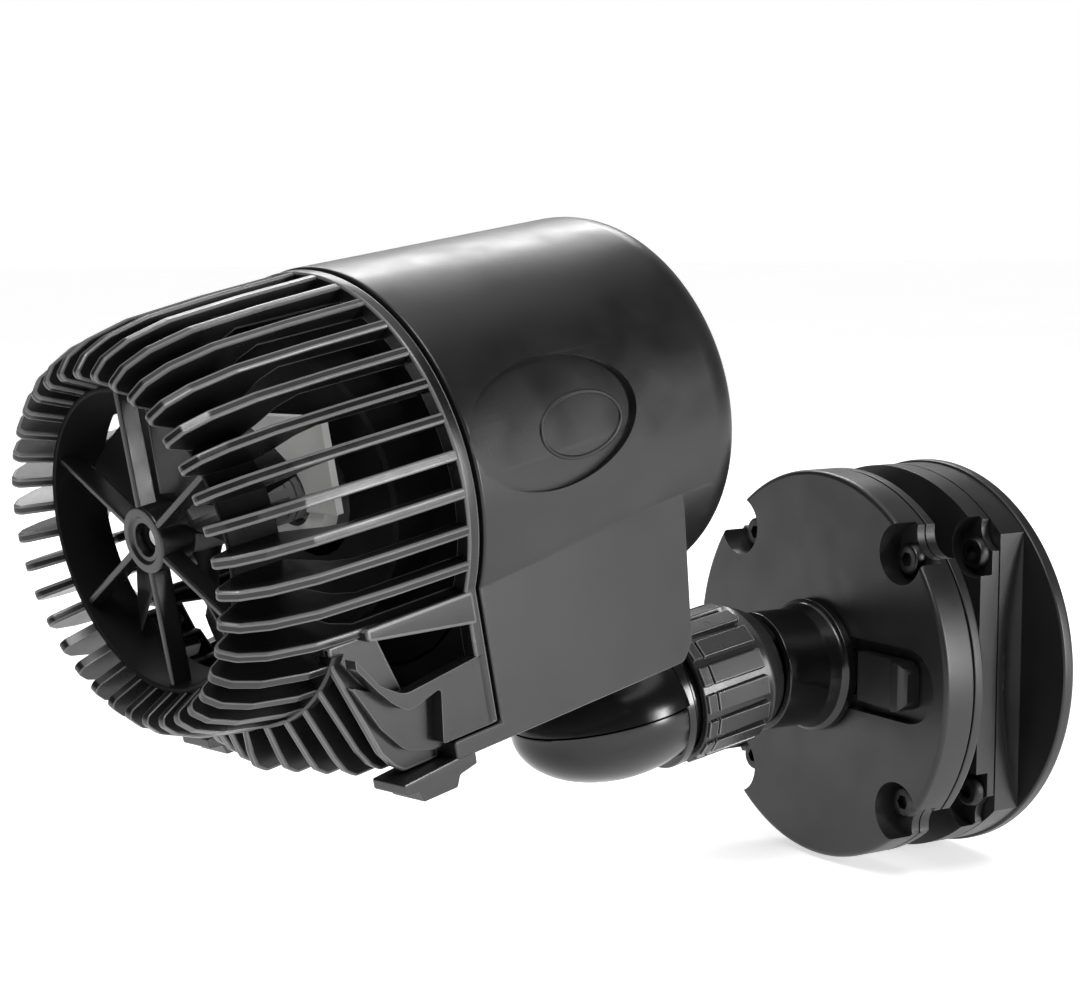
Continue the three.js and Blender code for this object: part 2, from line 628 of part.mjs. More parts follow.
// one blade: a flat section swept back along the axis while it turns
function blade(start) {
  const steps = 5;
  const section = new THREE.Shape();
  section.moveTo(3.2, -0.75);
  section.lineTo(12, -0.85);
  section.lineTo(BLADE_TIP_R, -0.45);
  section.lineTo(BLADE_TIP_R, 0.45);
  section.lineTo(12, 0.85);
  section.lineTo(3.2, 0.75);
  section.closePath();
  const geometry = new THREE.ExtrudeGeometry(section, { depth: BLADE_LENGTH, steps, bevelEnabled: false });
  const position = geometry.attributes.position;
  for (let i = 0; i < position.count; i += 1) {
    const y = position.getX(i);
    const z = position.getY(i);
    const t = position.getZ(i) / BLADE_LENGTH;
    const a = start + BLADE_TWIST * (t + 0.25 * t * t);
    const x = BLADE_FRONT + t * BLADE_LENGTH;
    position.setXYZ(i, x, y * Math.cos(a) - z * Math.sin(a), y * Math.sin(a) + z * Math.cos(a));
  }
  return solid(geometry);
}

function impeller() {
  const front = HUB_REAR + 0.9;
  let body = disc(front, IMPELLER_REAR, SLEEVE_R, 20);
  for (let k = 0; k < BLADE_COUNT; k += 1) {
    const swept = blade((2 * Math.PI * k) / BLADE_COUNT + 0.35);
    body = join(body, cut(swept, disc(BLADE_FRONT - 1, front, HUB_R + 0.8, 20)));
  }
  const flutes = 10;
  for (let i = 0; i < flutes; i += 1) {
    const [y, z] = atAngle(SLEEVE_R + 0.35, (2 * Math.PI * i) / flutes);
    body = cut(body, rod(BLADE_FRONT + BLADE_LENGTH + 0.4, IMPELLER_REAR - 1.2, 0.75, y, z, 6));
  }
  return cut(body, disc(front - 1, IMPELLER_REAR + 1, SHAFT_R + 0.1, FINE));
}

// carries the magnet and drives the impeller hub
function rotorSleeve() {
  const bore = SHAFT_R + 0.1;
  return turned([
    [IMPELLER_REAR + GAP, bore], [IMPELLER_REAR + GAP, SLEEVE_R], [31.5, SLEEVE_R], [31.5, 8.2], [34.0, 8.2],
    [34.0, 3.2], [70.5, 3.2], [70.5, bore], [IMPELLER_REAR + GAP, bore],
  ], FINE);
}

function rotorMagnet() {
  const c = 0.5;
  return turned([
    [34.6, 3.5], [34.6, ROTOR_R - c], [34.6 + c, ROTOR_R], [70, ROTOR_R], [70, 3.5], [34.6, 3.5],
  ], MID);
}

// ---------- cage ----------
// angles round the axis are taken from the top, towards the near side
const degrees = THREE.MathUtils.degToRad;

// one fin in the plane of the axis: outer edge back to front, then the inner edge
function finOutline(rear) {
  const isLong = rear > 20;
  const outer = isLong ? [[rear, CAGE_R - 0.1], [20, 31.0]] : [[rear, 30.6]];
  const inner = isLong ? [[12.2, 27.2], [15, 28.7], [rear, 28.7]] : [[12.2, 27.2], [rear, 28.0]];
  return [
    ...outer, [8, 30.3], [1, 28.9], [-2.9, 27.2], [FIN_TIP, 25.2], [-4.4, 24.0],
    [0.3, OUTLET_R + GAP], [DUCT_REAR - 0.3, OUTLET_R + GAP], [10, 24.0], ...inner,
  ];
}

function fin(angle, rear) {
  const shape = new THREE.Shape(finOutline(rear).map(([x, r]) => new THREE.Vector2(x, r)));
  const geometry = new THREE.ExtrudeGeometry(shape, { depth: FIN_THICK, bevelEnabled: false });
  geometry.translate(0, 0, -FIN_THICK / 2);
  geometry.rotateX(Math.PI / 2 + angle);
  return solid(geometry);
}

// space round the axis between two angles, less half a gap at each face
function sector(from, to) {
  const half = (to - from) / 2;
  const mid = from + half;
  const apex = GAP / 2 / Math.sin(half);
  const origin = new THREE.Vector2(-apex * Math.sin(mid), apex * Math.cos(mid));
  const reach = 80;
  const rim = [from, mid, to].map((a) => new THREE.Vector2(-Math.sin(a), Math.cos(a)).multiplyScalar(reach));
  return solid(pullX(new THREE.Shape([origin, ...rim.map((point) => point.add(origin))]), -10, 40));
}

function frameOutline(grow) {
  const shape = new THREE.Shape();
  const r = CAGE_R - grow;
  const half = BLOCK_HALF - grow;
  const start = Math.asin(Math.sqrt(r * r - half * half) / r);
  shape.absarc(0, 0, r, -start, Math.PI + start, false);
  shape.lineTo(-half, TONGUE_TOP + GAP + grow);
  shape.lineTo(half, TONGUE_TOP + GAP + grow);
  shape.closePath();
  return shape;
}

function rearFrame() {
  const outer = solid(pullX(frameOutline(0), FRAME_X, SEAM_X - GAP, 16));
  return cut(outer, solid(pullX(frameOutline(2.8), FRAME_X - 1, SEAM_X + 1, 16)));
}

// side = 1 is the near side, where y is negative
function sideWall(side, outline, depth, thick) {
  const outer = -side * depth;
  const inner = -side * (depth - thick);
  return solid(pullY(outline, Math.min(outer, inner), Math.max(outer, inner)));
}

// broad rail under the lowest full-length fin
function sideRail(side) {
  return sideWall(side, [[15.2, -14.6], [15.2, -16.4], [34.4, -19.6], [34.4, -14.6]], 28.2, 3.2);
}

// full-length fins with their share of the rear frame
function finPanel(index) {
  const from = -PANEL_LIMIT + index * PANEL_SPAN;
  const pieces = [rearFrame()];
  for (let a = from + FIN_PITCH / 2; a < from + PANEL_SPAN; a += FIN_PITCH) {
    pieces.push(fin(degrees(a), SEAM_X - GAP - 0.4));
  }
  if (index === 0) pieces.push(sideRail(-1));
  if (index === PANEL_COUNT - 1) pieces.push(sideRail(1));
  return join(...pieces).intersect(sector(degrees(from), degrees(from + PANEL_SPAN)));
}

// upright plate of the chin, its front edge raked back the further it is from the middle
function chinPlate(y) {
  const top = -Math.sqrt(30.6 ** 2 - y * y);
  const rake = 0.29 * Math.abs(y);
  const low = Math.abs(y) < 18 ? CHIN_BOTTOM : BLOCK_BOTTOM + GAP;
  const rear = TONGUE_X - 0.6;
  return solid(pullY([
    [11.1, top + 3.0], [11.1, top], [11.1 + 0.8 * rake, low + 3.6], [11.6 + rake, low + 1.2],
    [13.2 + rake, low], [rear, low], [rear, TONGUE_TOP + GAP], [FRAME_X + 1, TONGUE_TOP + GAP],
    [FRAME_X + 1, TONGUE_TOP + 3.1], [24, TONGUE_TOP + 3.1], [19, top + 3.0],
  ], y - FIN_THICK / 2, y + FIN_THICK / 2));
}

// ledge that carries on from a fin, with the cheek behind and below it
function sideCheek(side) {
  const ledge = sideWall(side, [
    [12.6, -18.0], [13.1, -18.8], [15.9, -22.8], [19.8, -25.3], [34.4, -23.9], [34.4, -34.2], [25.0, -34.2],
    [26.2, -26.3], [20.0, -27.9], [17.4, -25.7], [15.4, -23.4], [12.6, -19.6],
  ], BLOCK_HALF, 2.4);
  const cheek = sideWall(side, [
    [14.0, -23.0], [12.8, -22.4], [16.4, -29.5], [19.9, -33.8], [24.6, -35.2], [26.4, -35.2], [26.4, -34.2],
    [34.4, -34.2], [34.4, -24.6], [20.0, -26.2],
  ], BLOCK_HALF - 2.2, 1.6);
  return join(ledge, cheek);
}

function cageChin() {
  const lower = sector(degrees(PANEL_LIMIT), degrees(360 - PANEL_LIMIT));
  const hoop = tube(11.0, 13.0, 27.6, 30.9, WIDE).intersect(lower);
  const pieces = [rearFrame().intersect(lower), hoop, sideCheek(-1), sideCheek(1)];
  for (let a = PANEL_LIMIT + FIN_PITCH / 2; a < 360 - PANEL_LIMIT; a += FIN_PITCH) {
    const turn = Math.abs(a - 180);
    pieces.push(fin(degrees(a), turn > 35 ? 17.6 : 13.0));
  }
  for (let k = -5; k <= 5; k += 1) pieces.push(chinPlate(31 * Math.sin(degrees(FIN_PITCH * k))));
  return join(...pieces);
}

function duct() {
  return turned([
    [0.3, DUCT_R + 0.3], [0, DUCT_R + 0.6], [0.2, OUTLET_R], [DUCT_REAR, OUTLET_R], [DUCT_REAR, DUCT_R],
    [1.2, DUCT_R], [0.3, DUCT_R + 0.3],
  ], 36);
}

function cageHub() {
  return turned([
    [0.9, 3.4], [0.6, HUB_R - 0.5], [1.1, HUB_R], [HUB_REAR, HUB_R], [HUB_REAR, 2.9], [2.2, 2.9], [2.2, 2.4],
    [0.9, 2.4], [0.9, 3.4],
  ], 24);
}

function spoke(angle) {
  const geometry = new THREE.BoxGeometry(3.2, 1.1, DUCT_R - HUB_R + 1.4);
  geometry.translate(2.3, 0, (DUCT_R + HUB_R) / 2);
  return solid(aroundX(geometry, angle));
}

function outletRing() {
  const pieces = [duct(), cageHub()];
  for (let i = 0; i < 6; i += 1) pieces.push(spoke((Math.PI / 3) * i));
  return join(...pieces);
}

function buildPump() {
  addPart('motor_housing', motorHousing(), 'abs_satin', PUMP_FRAME);
  addPart('outlet_ring', outletRing(), 'abs_satin', PUMP_FRAME);
  for (let i = 0; i < PANEL_COUNT; i += 1) {
    addPart(`cage_panel_${i + 1}`, finPanel(i), 'abs_satin', PUMP_FRAME);
  }
  addPart('cage_chin', cageChin(), 'abs_satin', PUMP_FRAME);
  addPart('rotor_well', rotorWell(), 'abs_matte', PUMP_FRAME);
  addPart('rotor_cover', rotorCover(), 'pale_plastic', PUMP_FRAME);
  addPart('well_seal', ring(40.1, 28.0 - 0.9, 0.8), 'rubber', PUMP_FRAME);
  addPart('stator_core', statorCore(), 'steel', PUMP_FRAME);
  for (let i = 0; i < 6; i += 1) addPart(`coil_${i + 1}`, coil(i), 'copper', PUMP_FRAME);
  addPart('potting_plug', pottingPlug(), 'epoxy', PUMP_FRAME);
  addPart('rear_bush', turned([
    [70.9, SHAFT_R + 0.03], [70.9, 4.0], [WELL_REAR - 1.8, 4.0], [WELL_REAR - 1.8, SHAFT_R + 0.03],
    [70.9, SHAFT_R + 0.03],
  ], FINE), 'rubber', PUMP_FRAME);
  addPart('shaft', turned([
    [2.6, 0], [2.6, SHAFT_R - 0.2], [2.8, SHAFT_R], [72.1, SHAFT_R], [72.1, 0],
  ], FINE), 'ceramic', PUMP_FRAME);
  addPart('front_bush', tube(2.3, HUB_REAR - 0.1, SHAFT_R + 0.03, 2.6, FINE), 'rubber', PUMP_FRAME);
  addPart('impeller', impeller(), 'grey_plastic', PUMP_FRAME);
  addPart('rotor_sleeve', rotorSleeve(), 'grey_plastic', PUMP_FRAME);
  addPart('rotor_magnet', rotorMagnet(), 'magnet', PUMP_FRAME);
  const washer = tube(HUB_REAR + 0.15, HUB_REAR + 0.7, SHAFT_R + 0.05, 3.0, FINE);
  addPart('thrust_washer', washer, 'ceramic', PUMP_FRAME);
  addPart('cable_gland', cableGland(), 'abs_matte', PUMP_FRAME);
  addPart('gland_nut', glandNut(), 'abs_matte', PUMP_FRAME);
}

// hollow stud through the rear wall with its flange inside
function cableGland() {
  const body = turned([
    [GLAND_INNER, CORD_R], [GLAND_INNER, GLAND_FLANGE_R], [89.7, GLAND_FLANGE_R], [89.7, GLAND_R],
    [98.0, GLAND_R], [98.0, CORD_R], [GLAND_INNER, CORD_R],
  ], FINE);
  return body.translate([0, 0, GLAND_Z]);
}

function glandNut() {
  const rear = BARREL_REAR + 5.2;
  const nut = rod(BARREL_REAR + GAP, rear, 7.2, 0, GLAND_Z, 6);
  return cut(nut, rod(BARREL_REAR, rear + 1, GLAND_R + GAP, 0, GLAND_Z));
}

function buildArm() {
  addPart('neck_ball', neckBall(), 'abs_gloss', DISC_FRAME);
  addPart('neck_clip', neckClip(), 'steel', DISC_FRAME);
  addPart('clamp_nut', clampNut(), 'abs_satin', ARM_FRAME);
  addPart('elbow_arm', elbowArm(), 'abs_gloss', ARM_FRAME);
  addPart('elbow_cap', elbowCap(), 'abs_satin', ARM_FRAME);
  addPart('ball_pad', ballPad(), 'rubber', ARM_FRAME);
  addPart('swivel_screw', swivelScrew(), 'steel', ARM_FRAME);
  addPart('swivel_washer', swivelWasher(), 'rubber', ARM_FRAME);
}

buildBases();
buildArm();
buildPump();

export default part;
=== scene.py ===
"""Wave maker pump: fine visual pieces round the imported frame.

Pieces are modelled in millimetres in one of three working frames, taken from the record's joints,
and then placed in the row frame in metres.
"""
import json
import math

import bmesh
import bpy
from mathutils import Matrix, Vector


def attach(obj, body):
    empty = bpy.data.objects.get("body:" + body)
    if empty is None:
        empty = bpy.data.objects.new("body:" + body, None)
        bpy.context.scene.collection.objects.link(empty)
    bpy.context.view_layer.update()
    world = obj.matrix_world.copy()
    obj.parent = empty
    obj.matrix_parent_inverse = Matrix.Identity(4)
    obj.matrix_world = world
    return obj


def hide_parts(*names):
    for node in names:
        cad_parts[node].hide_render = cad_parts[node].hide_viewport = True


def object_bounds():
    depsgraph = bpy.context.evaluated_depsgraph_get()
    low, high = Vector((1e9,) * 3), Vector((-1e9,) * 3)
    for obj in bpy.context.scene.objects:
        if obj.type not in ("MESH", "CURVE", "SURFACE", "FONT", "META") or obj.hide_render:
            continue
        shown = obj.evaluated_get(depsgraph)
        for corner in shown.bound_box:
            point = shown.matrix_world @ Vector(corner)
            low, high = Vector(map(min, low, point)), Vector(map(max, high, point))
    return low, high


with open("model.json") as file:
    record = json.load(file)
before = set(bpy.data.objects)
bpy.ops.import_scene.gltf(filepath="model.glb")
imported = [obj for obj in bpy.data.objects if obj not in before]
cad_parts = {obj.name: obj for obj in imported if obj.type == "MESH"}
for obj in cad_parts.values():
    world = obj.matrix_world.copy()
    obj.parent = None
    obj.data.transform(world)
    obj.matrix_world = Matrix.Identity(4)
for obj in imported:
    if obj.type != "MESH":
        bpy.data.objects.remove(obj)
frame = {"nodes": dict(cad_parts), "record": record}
cad_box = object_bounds()

MM = 0.001
GAP = 0.3

# ---------- working frames ----------
joints = {j["name"]: j for j in frame["record"]["behaviour"]["joints"]}


def working_frame(origin, x_axis, z_axis):
    x = Vector(x_axis).normalized()
    z = Vector(z_axis).normalized()
    matrix = Matrix((x, z.cross(x), z)).transposed().to_4x4()
    matrix.translation = origin
    return matrix @ Matrix.Scale(MM, 4)


UP = joints["head_swivel"]["axis"]
DISC = working_frame((0, 0, 0), (1, 0, 0), (0, 0, 1))
ARM = working_frame(joints["ball_tilt"]["pos_m"], joints["nut_turn"]["axis"], UP)
PUMP = working_frame(joints["rotor_spin"]["pos_m"], joints["rotor_spin"]["axis"], UP)

# ---------- dimensions in mm ----------
# As in the CAD, but the flange and the barrel's rear are a little smaller, to stay inside its box.
DISC_R = 34.0
WET_FRONT, WET_SPLIT, WET_BACK = -9.8, -3.6, -1.5
DRY_FRONT, DRY_SPLIT, FLANGE_X, DRY_BACK = 6.5, 10.75, 16.2, 20.0
FLANGE_R, GRIP_HALF = 34.48, 24.0
POCKET_PITCH_R, POCKET_R, POCKET_FLOOR = 31.1, 5.2, -5.3
DRY_POCKET_FLOOR = 9.1
NOTCH_PITCH_R, NOTCH_R = 35.8, 4.2
SCREW_PITCH_R, SCREW_HEAD_R, SCREW_SHANK_R = 29.4, 2.7, 1.3
BALL_X, BALL_R, STEM_R = -31.3, 8.6, 4.2
NECK_R, NECK_RIM_X, NECK_PLUG_R, CUP_R, NUT_END_R = 10.2, -23.4, 9.6, 12.3, 12.0
ARM_LENGTH, SPIGOT_R, COLLAR_REAR, STEM_TOP, ELBOW_R = 22.7, 10.2, -15.0, 13.0, 9.6
CORE_R, ELBOW_SPLIT = 7.6, 1.35
ELBOW_HALVES = (18.2, 14.2, 10.6)
SWIVEL_X = 80.6
OUTLET_R, DUCT_R, DUCT_REAR = 22.1, 21.0, 8.3
FIN_TIP, FIN_THICK, CAGE_R = -4.8, 1.5, 31.5
SEAM_X, FRAME_X = 35.6, 33.2
BARREL_FRONT_R, BARREL_REAR_R, BARREL_REAR = 31.7, 29.95, 92.5
BLOCK_HALF, BLOCK_BOTTOM, BLOCK_REAR = 28.0, -37.4, 78.1
INSET_X, INSET_HALF_LENGTH, INSET_HALF_WIDTH, INSET_LIFT = 52.5, 16.5, 9.6, 10.5
TONGUE_X, TONGUE_TOP, FOOT_BOTTOM = 27.0, -34.6, -41.2
HUB_R, HUB_REAR, SHAFT_R = 4.9, 6.0, 1.5
BLADE_COUNT, BLADE_TIP_R, BLADE_FRONT, BLADE_LENGTH, BLADE_TWIST = 5, 19.8, 4.8, 10.4, 0.95
IMPELLER_REAR, SLEEVE_R = 24.6, 3.9
NOSE_FRONT = 29.2
KEEPER_FRONT, KEEPER_HALF, KEEPER_LOW, KEEPER_TOP = 25.6, 11.6, -2.4, 12.0
PANEL_LIMIT, FIN_PITCH, CHIN_BOTTOM = 125, 10, -38.3
GLAND_Z, GLAND_R = 10.0, 4.1
DIAGONALS = [math.radians(a) for a in (45, 135, 225, 315)]

EDGE_INDEX = 1  # rounded edges take a piece's second material, whose lighter colour is a painted highlight along them
GRIP_INDEX = 2  # and finger scoops a third, lighter in colour: a painted sheen on the scoops
FINE_TURN = 160
MID_TURN = 96
SMALL_TURN = 40
BALL_STEPS = 48


# ---------- mesh toolkit ----------
FLAT_SLOT = bpy.data.materials.new("slot_of_faces")
EDGE_SLOT = bpy.data.materials.new("slot_of_edges")
GRIP_SLOT = bpy.data.materials.new("slot_of_grips")
EDGE_HIGHLIGHT_TWINS = {}


def rounded(points, closed=False, steps=4):
    """Points are (u, v) or (u, v, radius); a corner with a radius becomes a short arc."""
    out = []
    count = len(points)
    for i, point in enumerate(points):
        radius = point[2] if len(point) > 2 else 0
        if not radius or (not closed and i in (0, count - 1)):
            out.append((point[0], point[1]))
            continue
        here = Vector(point[:2])
        before = Vector(points[i - 1][:2]) - here
        after = Vector(points[(i + 1) % count][:2]) - here
        half = before.angle(after) / 2
        reach = min(radius / math.tan(half), 0.48 * before.length, 0.48 * after.length)
        start = here + before.normalized() * reach
        end = here + after.normalized() * reach
        for k in range(steps + 1):
            t = k / steps
            out.append(tuple((1 - t) ** 2 * start + 2 * t * (1 - t) * here + t * t * end))
    return out


def lathe(profile, turns=MID_TURN, closed=False, axis="X"):
    """Turns (along, radius) points about the local X or Z axis."""
    bm = bmesh.new()
    rings = []
    for along, radius in profile:
        count = 1 if radius < 1e-5 else turns
        ring = []
        for i in range(count):
            angle = 2 * math.pi * i / turns
            a, b = radius * math.cos(angle), radius * math.sin(angle)
            ring.append(bm.verts.new((along, a, b) if axis == "X" else (a, b, along)))
        rings.append(ring)
    pairs = list(zip(rings, rings[1:]))
    if closed:
        pairs.append((rings[-1], rings[0]))
    for one, two in pairs:
        for i in range(turns):
            j = (i + 1) % turns
            corners = []
            for ring, at in ((one, i), (one, j), (two, j), (two, i)):
                vert = ring[at % len(ring)]
                if vert not in corners:
                    corners.append(vert)
            if len(corners) > 2:
                bm.faces.new(corners)
    bmesh.ops.recalc_face_normals(bm, faces=bm.faces)
    return bm


def prism(outline, low, high, along="X", bevel=0.0, segments=2):
    """Pulls a closed outline straight: (y, z) along X, (x, z) along Y or (x, y) along Z."""
    place = {
        "X": lambda u, v, w: (w, u, v),
        "Y": lambda u, v, w: (u, w, v),
        "Z": lambda u, v, w: (u, v, w),
    }[along]
    bm = bmesh.new()
    base = [bm.verts.new(place(u, v, low)) for u, v in outline]
    top = [bm.verts.new(place(u, v, high)) for u, v in outline]
    bm.faces.new(base)
    bm.faces.new(top)
    for i in range(len(outline)):
        j = (i + 1) % len(outline)
        bm.faces.new((base[i], base[j], top[j], top[i]))
    bmesh.ops.recalc_face_normals(bm, faces=bm.faces)
    if bevel:
        edges = [e for e in bm.edges if e.calc_face_angle(0) > 0.5]
        bmesh.ops.bevel(bm, geom=edges, offset=bevel, segments=segments, profile=0.6,
                        affect="EDGES", clamp_overlap=True, material=EDGE_INDEX)
    return bm


def box_outline(u0, u1, v0, v1, radius=0.0):
    corners = [(u0, v0, radius), (u1, v0, radius), (u1, v1, radius), (u0, v1, radius)]
    return rounded(corners, closed=True) if radius else [c[:2] for c in corners]


def circle(u, v, radius, turns=SMALL_TURN):
    return [(u + radius * math.cos(2 * math.pi * i / turns), v + radius * math.sin(2 * math.pi * i / turns))
            for i in range(turns)]


def moved(bm, matrix):
    bm.transform(matrix)
    return bm


def joined(*parts):
    """One mesh of several closed shells."""
    whole = bmesh.new()
    for part in parts:
        scratch = bpy.data.meshes.new("scratch")
        part.to_mesh(scratch)
        part.free()
        whole.from_mesh(scratch)
        bpy.data.meshes.remove(scratch)
    return whole


def tube_along(points, radius, sides=10):
    """Closed round bead through a loop of points."""
    bm = bmesh.new()
    rings = []
    count = len(points)
    for i, point in enumerate(points):
        forward = (points[(i + 1) % count] - points[i - 1]).normalized()
        side = forward.cross(Vector((0, 1, 0))).normalized()
        lift = side.cross(forward)
        angles = [2 * math.pi * k / sides for k in range(sides)]
        offsets = [radius * (math.cos(a) * side + math.sin(a) * lift) for a in angles]
        rings.append([bm.verts.new(point + offset) for offset in offsets])
    for i in range(count):
        one, two = rings[i], rings[(i + 1) % count]
        for k in range(sides):
            j = (k + 1) % sides
            bm.faces.new((one[k], one[j], two[j], two[k]))
    bmesh.ops.recalc_face_normals(bm, faces=bm.faces)
    return bm


def as_object(bm, name="scratch"):
    mesh = bpy.data.meshes.new(name)
    bm.to_mesh(mesh)
    bm.free()
    mesh.materials.append(FLAT_SLOT)
    mesh.materials.append(EDGE_SLOT)
    mesh.materials.append(GRIP_SLOT)
    obj = bpy.data.objects.new(name, mesh)
    bpy.context.scene.collection.objects.link(obj)
    return obj


def settle(obj):
    """Applies the object's modifiers to its mesh."""
    bpy.context.view_layer.update()
    graph = bpy.context.evaluated_depsgraph_get()
    mesh = bpy.data.meshes.new_from_object(obj.evaluated_get(graph))
    old = obj.data
    obj.modifiers.clear()
    obj.data = mesh
    bpy.data.meshes.remove(old)


def combined(base, others, operation):
    """Boolean of bmesh solids in mm, worked out exactly."""
    target = as_object(base)
    tools = [as_object(other) for other in others]
    for tool in tools:
        modifier = target.modifiers.new("cut", "BOOLEAN")
        modifier.operation = operation
        modifier.solver = "EXACT"
        modifier.object = tool
    settle(target)
    out = bmesh.new()
    out.from_mesh(target.data)
    for obj in [target, *tools]:
        mesh = obj.data
        bpy.data.objects.remove(obj)
        bpy.data.meshes.remove(mesh)
    return out


def cut(base, *others):
    return combined(base, others, "DIFFERENCE")


def union(base, *others):
    return combined(base, others, "UNION")


def common(base, other):
    return combined(base, [other], "INTERSECT")


def eased(bm, width, angle=38, segments=2):
    """Rounds every edge sharper than the angle."""
    obj = as_object(bm)
    modifier = obj.modifiers.new("ease", "BEVEL")
    modifier.width = width
    modifier.segments = segments
    modifier.limit_method = "ANGLE"
    modifier.angle_limit = math.radians(angle)
    modifier.use_clamp_overlap = True
    modifier.material = EDGE_INDEX
    settle(obj)
    out = bmesh.new()
    out.from_mesh(obj.data)
    mesh = obj.data
    bpy.data.objects.remove(obj)
    bpy.data.meshes.remove(mesh)
    return out


def piece(name, bm, where, body, nodes, material, sharp=32):
    """Places a finished mesh in the row frame on its body and hides the nodes it stands in for."""
    bm.transform(where)
    mesh = bpy.data.meshes.new(name)
    bm.to_mesh(mesh)
    bm.free()
    mesh.materials.append(material)
    # rounded edges get the lighter twin material: a painted highlight along them
    if material.name in EDGE_HIGHLIGHT_TWINS:
        mesh.materials.append(EDGE_HIGHLIGHT_TWINS[material.name])
    mesh.shade_smooth()
    mesh.set_sharp_from_angle(angle=math.radians(sharp))
    obj = bpy.data.objects.new(name, mesh)
    bpy.context.scene.collection.objects.link(obj)
    weighted = obj.modifiers.new("flat_faces_stay_flat", "WEIGHTED_NORMAL")
    weighted.keep_sharp = True
    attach(obj, body)
    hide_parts(*nodes)
    return obj


# ---------- materials ----------
class Nodes:
    """A small helper that adds and links shader nodes."""

    def __init__(self, name):
        self.material = bpy.data.materials.new(name)
        self.material.use_nodes = True
        self.tree = self.material.node_tree
        self.shader = self.tree.nodes["Principled BSDF"]
        self.where = self.tree.nodes.new("ShaderNodeTexCoord").outputs["Object"]

    def add(self, kind, **inputs):
        node = self.tree.nodes.new(kind)
        for key, value in inputs.items():
            socket = node.inputs[key.replace("_", " ")]
            if isinstance(value, bpy.types.NodeSocket):
                self.tree.links.new(value, socket)
            else:
                socket.default_value = value
        return node

    def noise(self, scale, detail=3.0, stretch=None):
        source = self.where
        if stretch:
            mapping = self.add("ShaderNodeMapping", Vector=self.where)
            mapping.inputs["Scale"].default_value = stretch
            source = mapping.outputs["Vector"]
        return self.add("ShaderNodeTexNoise", Vector=source, Scale=scale, Detail=detail).outputs["Fac"]

    def spread(self, value, low, high, start=0.3, stop=0.7):
        node = self.add("ShaderNodeMapRange", Value=value)
        for key, number in (("From Min", start), ("From Max", stop), ("To Min", low), ("To Max", high)):
            node.inputs[key].default_value = number
        return node.outputs["Result"]

    def blend(self, factor, one, two):
        node = self.tree.nodes.new("ShaderNodeMix")
        node.data_type = "RGBA"
        for index, value in ((0, factor), (6, one), (7, two)):
            if isinstance(value, bpy.types.NodeSocket):
                self.tree.links.new(value, node.inputs[index])
            else:
                node.inputs[index].default_value = value
        return node.outputs[2]

    def bump(self, height, distance, strength=1.0):
        node = self.add("ShaderNodeBump", Height=height)
        node.inputs["Strength"].default_value = strength
        node.inputs["Distance"].default_value = distance
        self.link(node.outputs["Normal"], "Normal")

    def link(self, value, socket):
        self.tree.links.new(value, self.shader.inputs[socket])

    def set(self, **values):
        for key, value in values.items():
            self.shader.inputs[key.replace("_", " ")].default_value = value


def grey(value, warm=0.0):
    return (value * (1 + warm), value, value * (1 - warm), 1.0)


def moulded(name, dark, light, rough, grain=2600.0, depth=0.00002, edge=0.03, edge_rough=0.24, shine=0.5):
    """Moulded plastic: cloudy tone, uneven gloss and fine grain, with a lighter, glossier twin for its
    rounded edges; the twin's lighter colour is a painted highlight.
    """
    for suffix, low, high, gloss in (("", dark, light, rough), ("_edge", edge * 0.7, edge, edge_rough)):
        n = Nodes(name + suffix)
        n.link(n.blend(n.spread(n.noise(55.0, 4.0), 0.0, 1.0), grey(low), grey(high)), "Base Color")
        n.link(n.spread(n.noise(140.0, 4.0), gloss - 0.05, gloss + 0.07), "Roughness")
        n.bump(n.noise(grain, 2.0), depth, 0.5)
        n.set(IOR=1.5, Specular_IOR_Level=shine)
        if suffix:
            EDGE_HIGHLIGHT_TWINS[name] = n.material
        else:
            plain = n.material
    return plain


def rubber_like(name, tone):
    n = Nodes(name)
    n.link(n.blend(n.spread(n.noise(90.0, 5.0), 0.0, 1.0), grey(tone * 0.7), grey(tone * 1.5)), "Base Color")
    n.link(n.spread(n.noise(300.0, 3.0), 0.7, 0.95), "Roughness")
    n.bump(n.noise(1800.0, 4.0), 0.00006, 0.8)
    return n.material


def metal_like(name, dark, light, rough, stretch=(1.0, 1.0, 1.0), warm=0.0):
    n = Nodes(name)
    brushed = n.noise(500.0, 4.0, stretch)
    n.link(n.blend(n.spread(brushed, 0.0, 1.0), grey(dark, warm), grey(light, warm)), "Base Color")
    n.link(n.spread(n.noise(220.0, 3.0), rough - 0.08, rough + 0.14), "Roughness")
    n.bump(brushed, 0.00002, 0.5)
    n.set(Metallic=1.0)
    return n.material


def pale_like(name, dark, light, rough):
    n = Nodes(name)
    n.link(n.blend(n.spread(n.noise(70.0, 4.0), 0.0, 1.0), grey(dark, 0.01), grey(light, 0.01)), "Base Color")
    n.link(n.spread(n.noise(260.0, 3.0), rough - 0.05, rough + 0.1), "Roughness")
    n.bump(n.noise(1500.0, 2.0), 0.00002, 0.5)
    return n.material


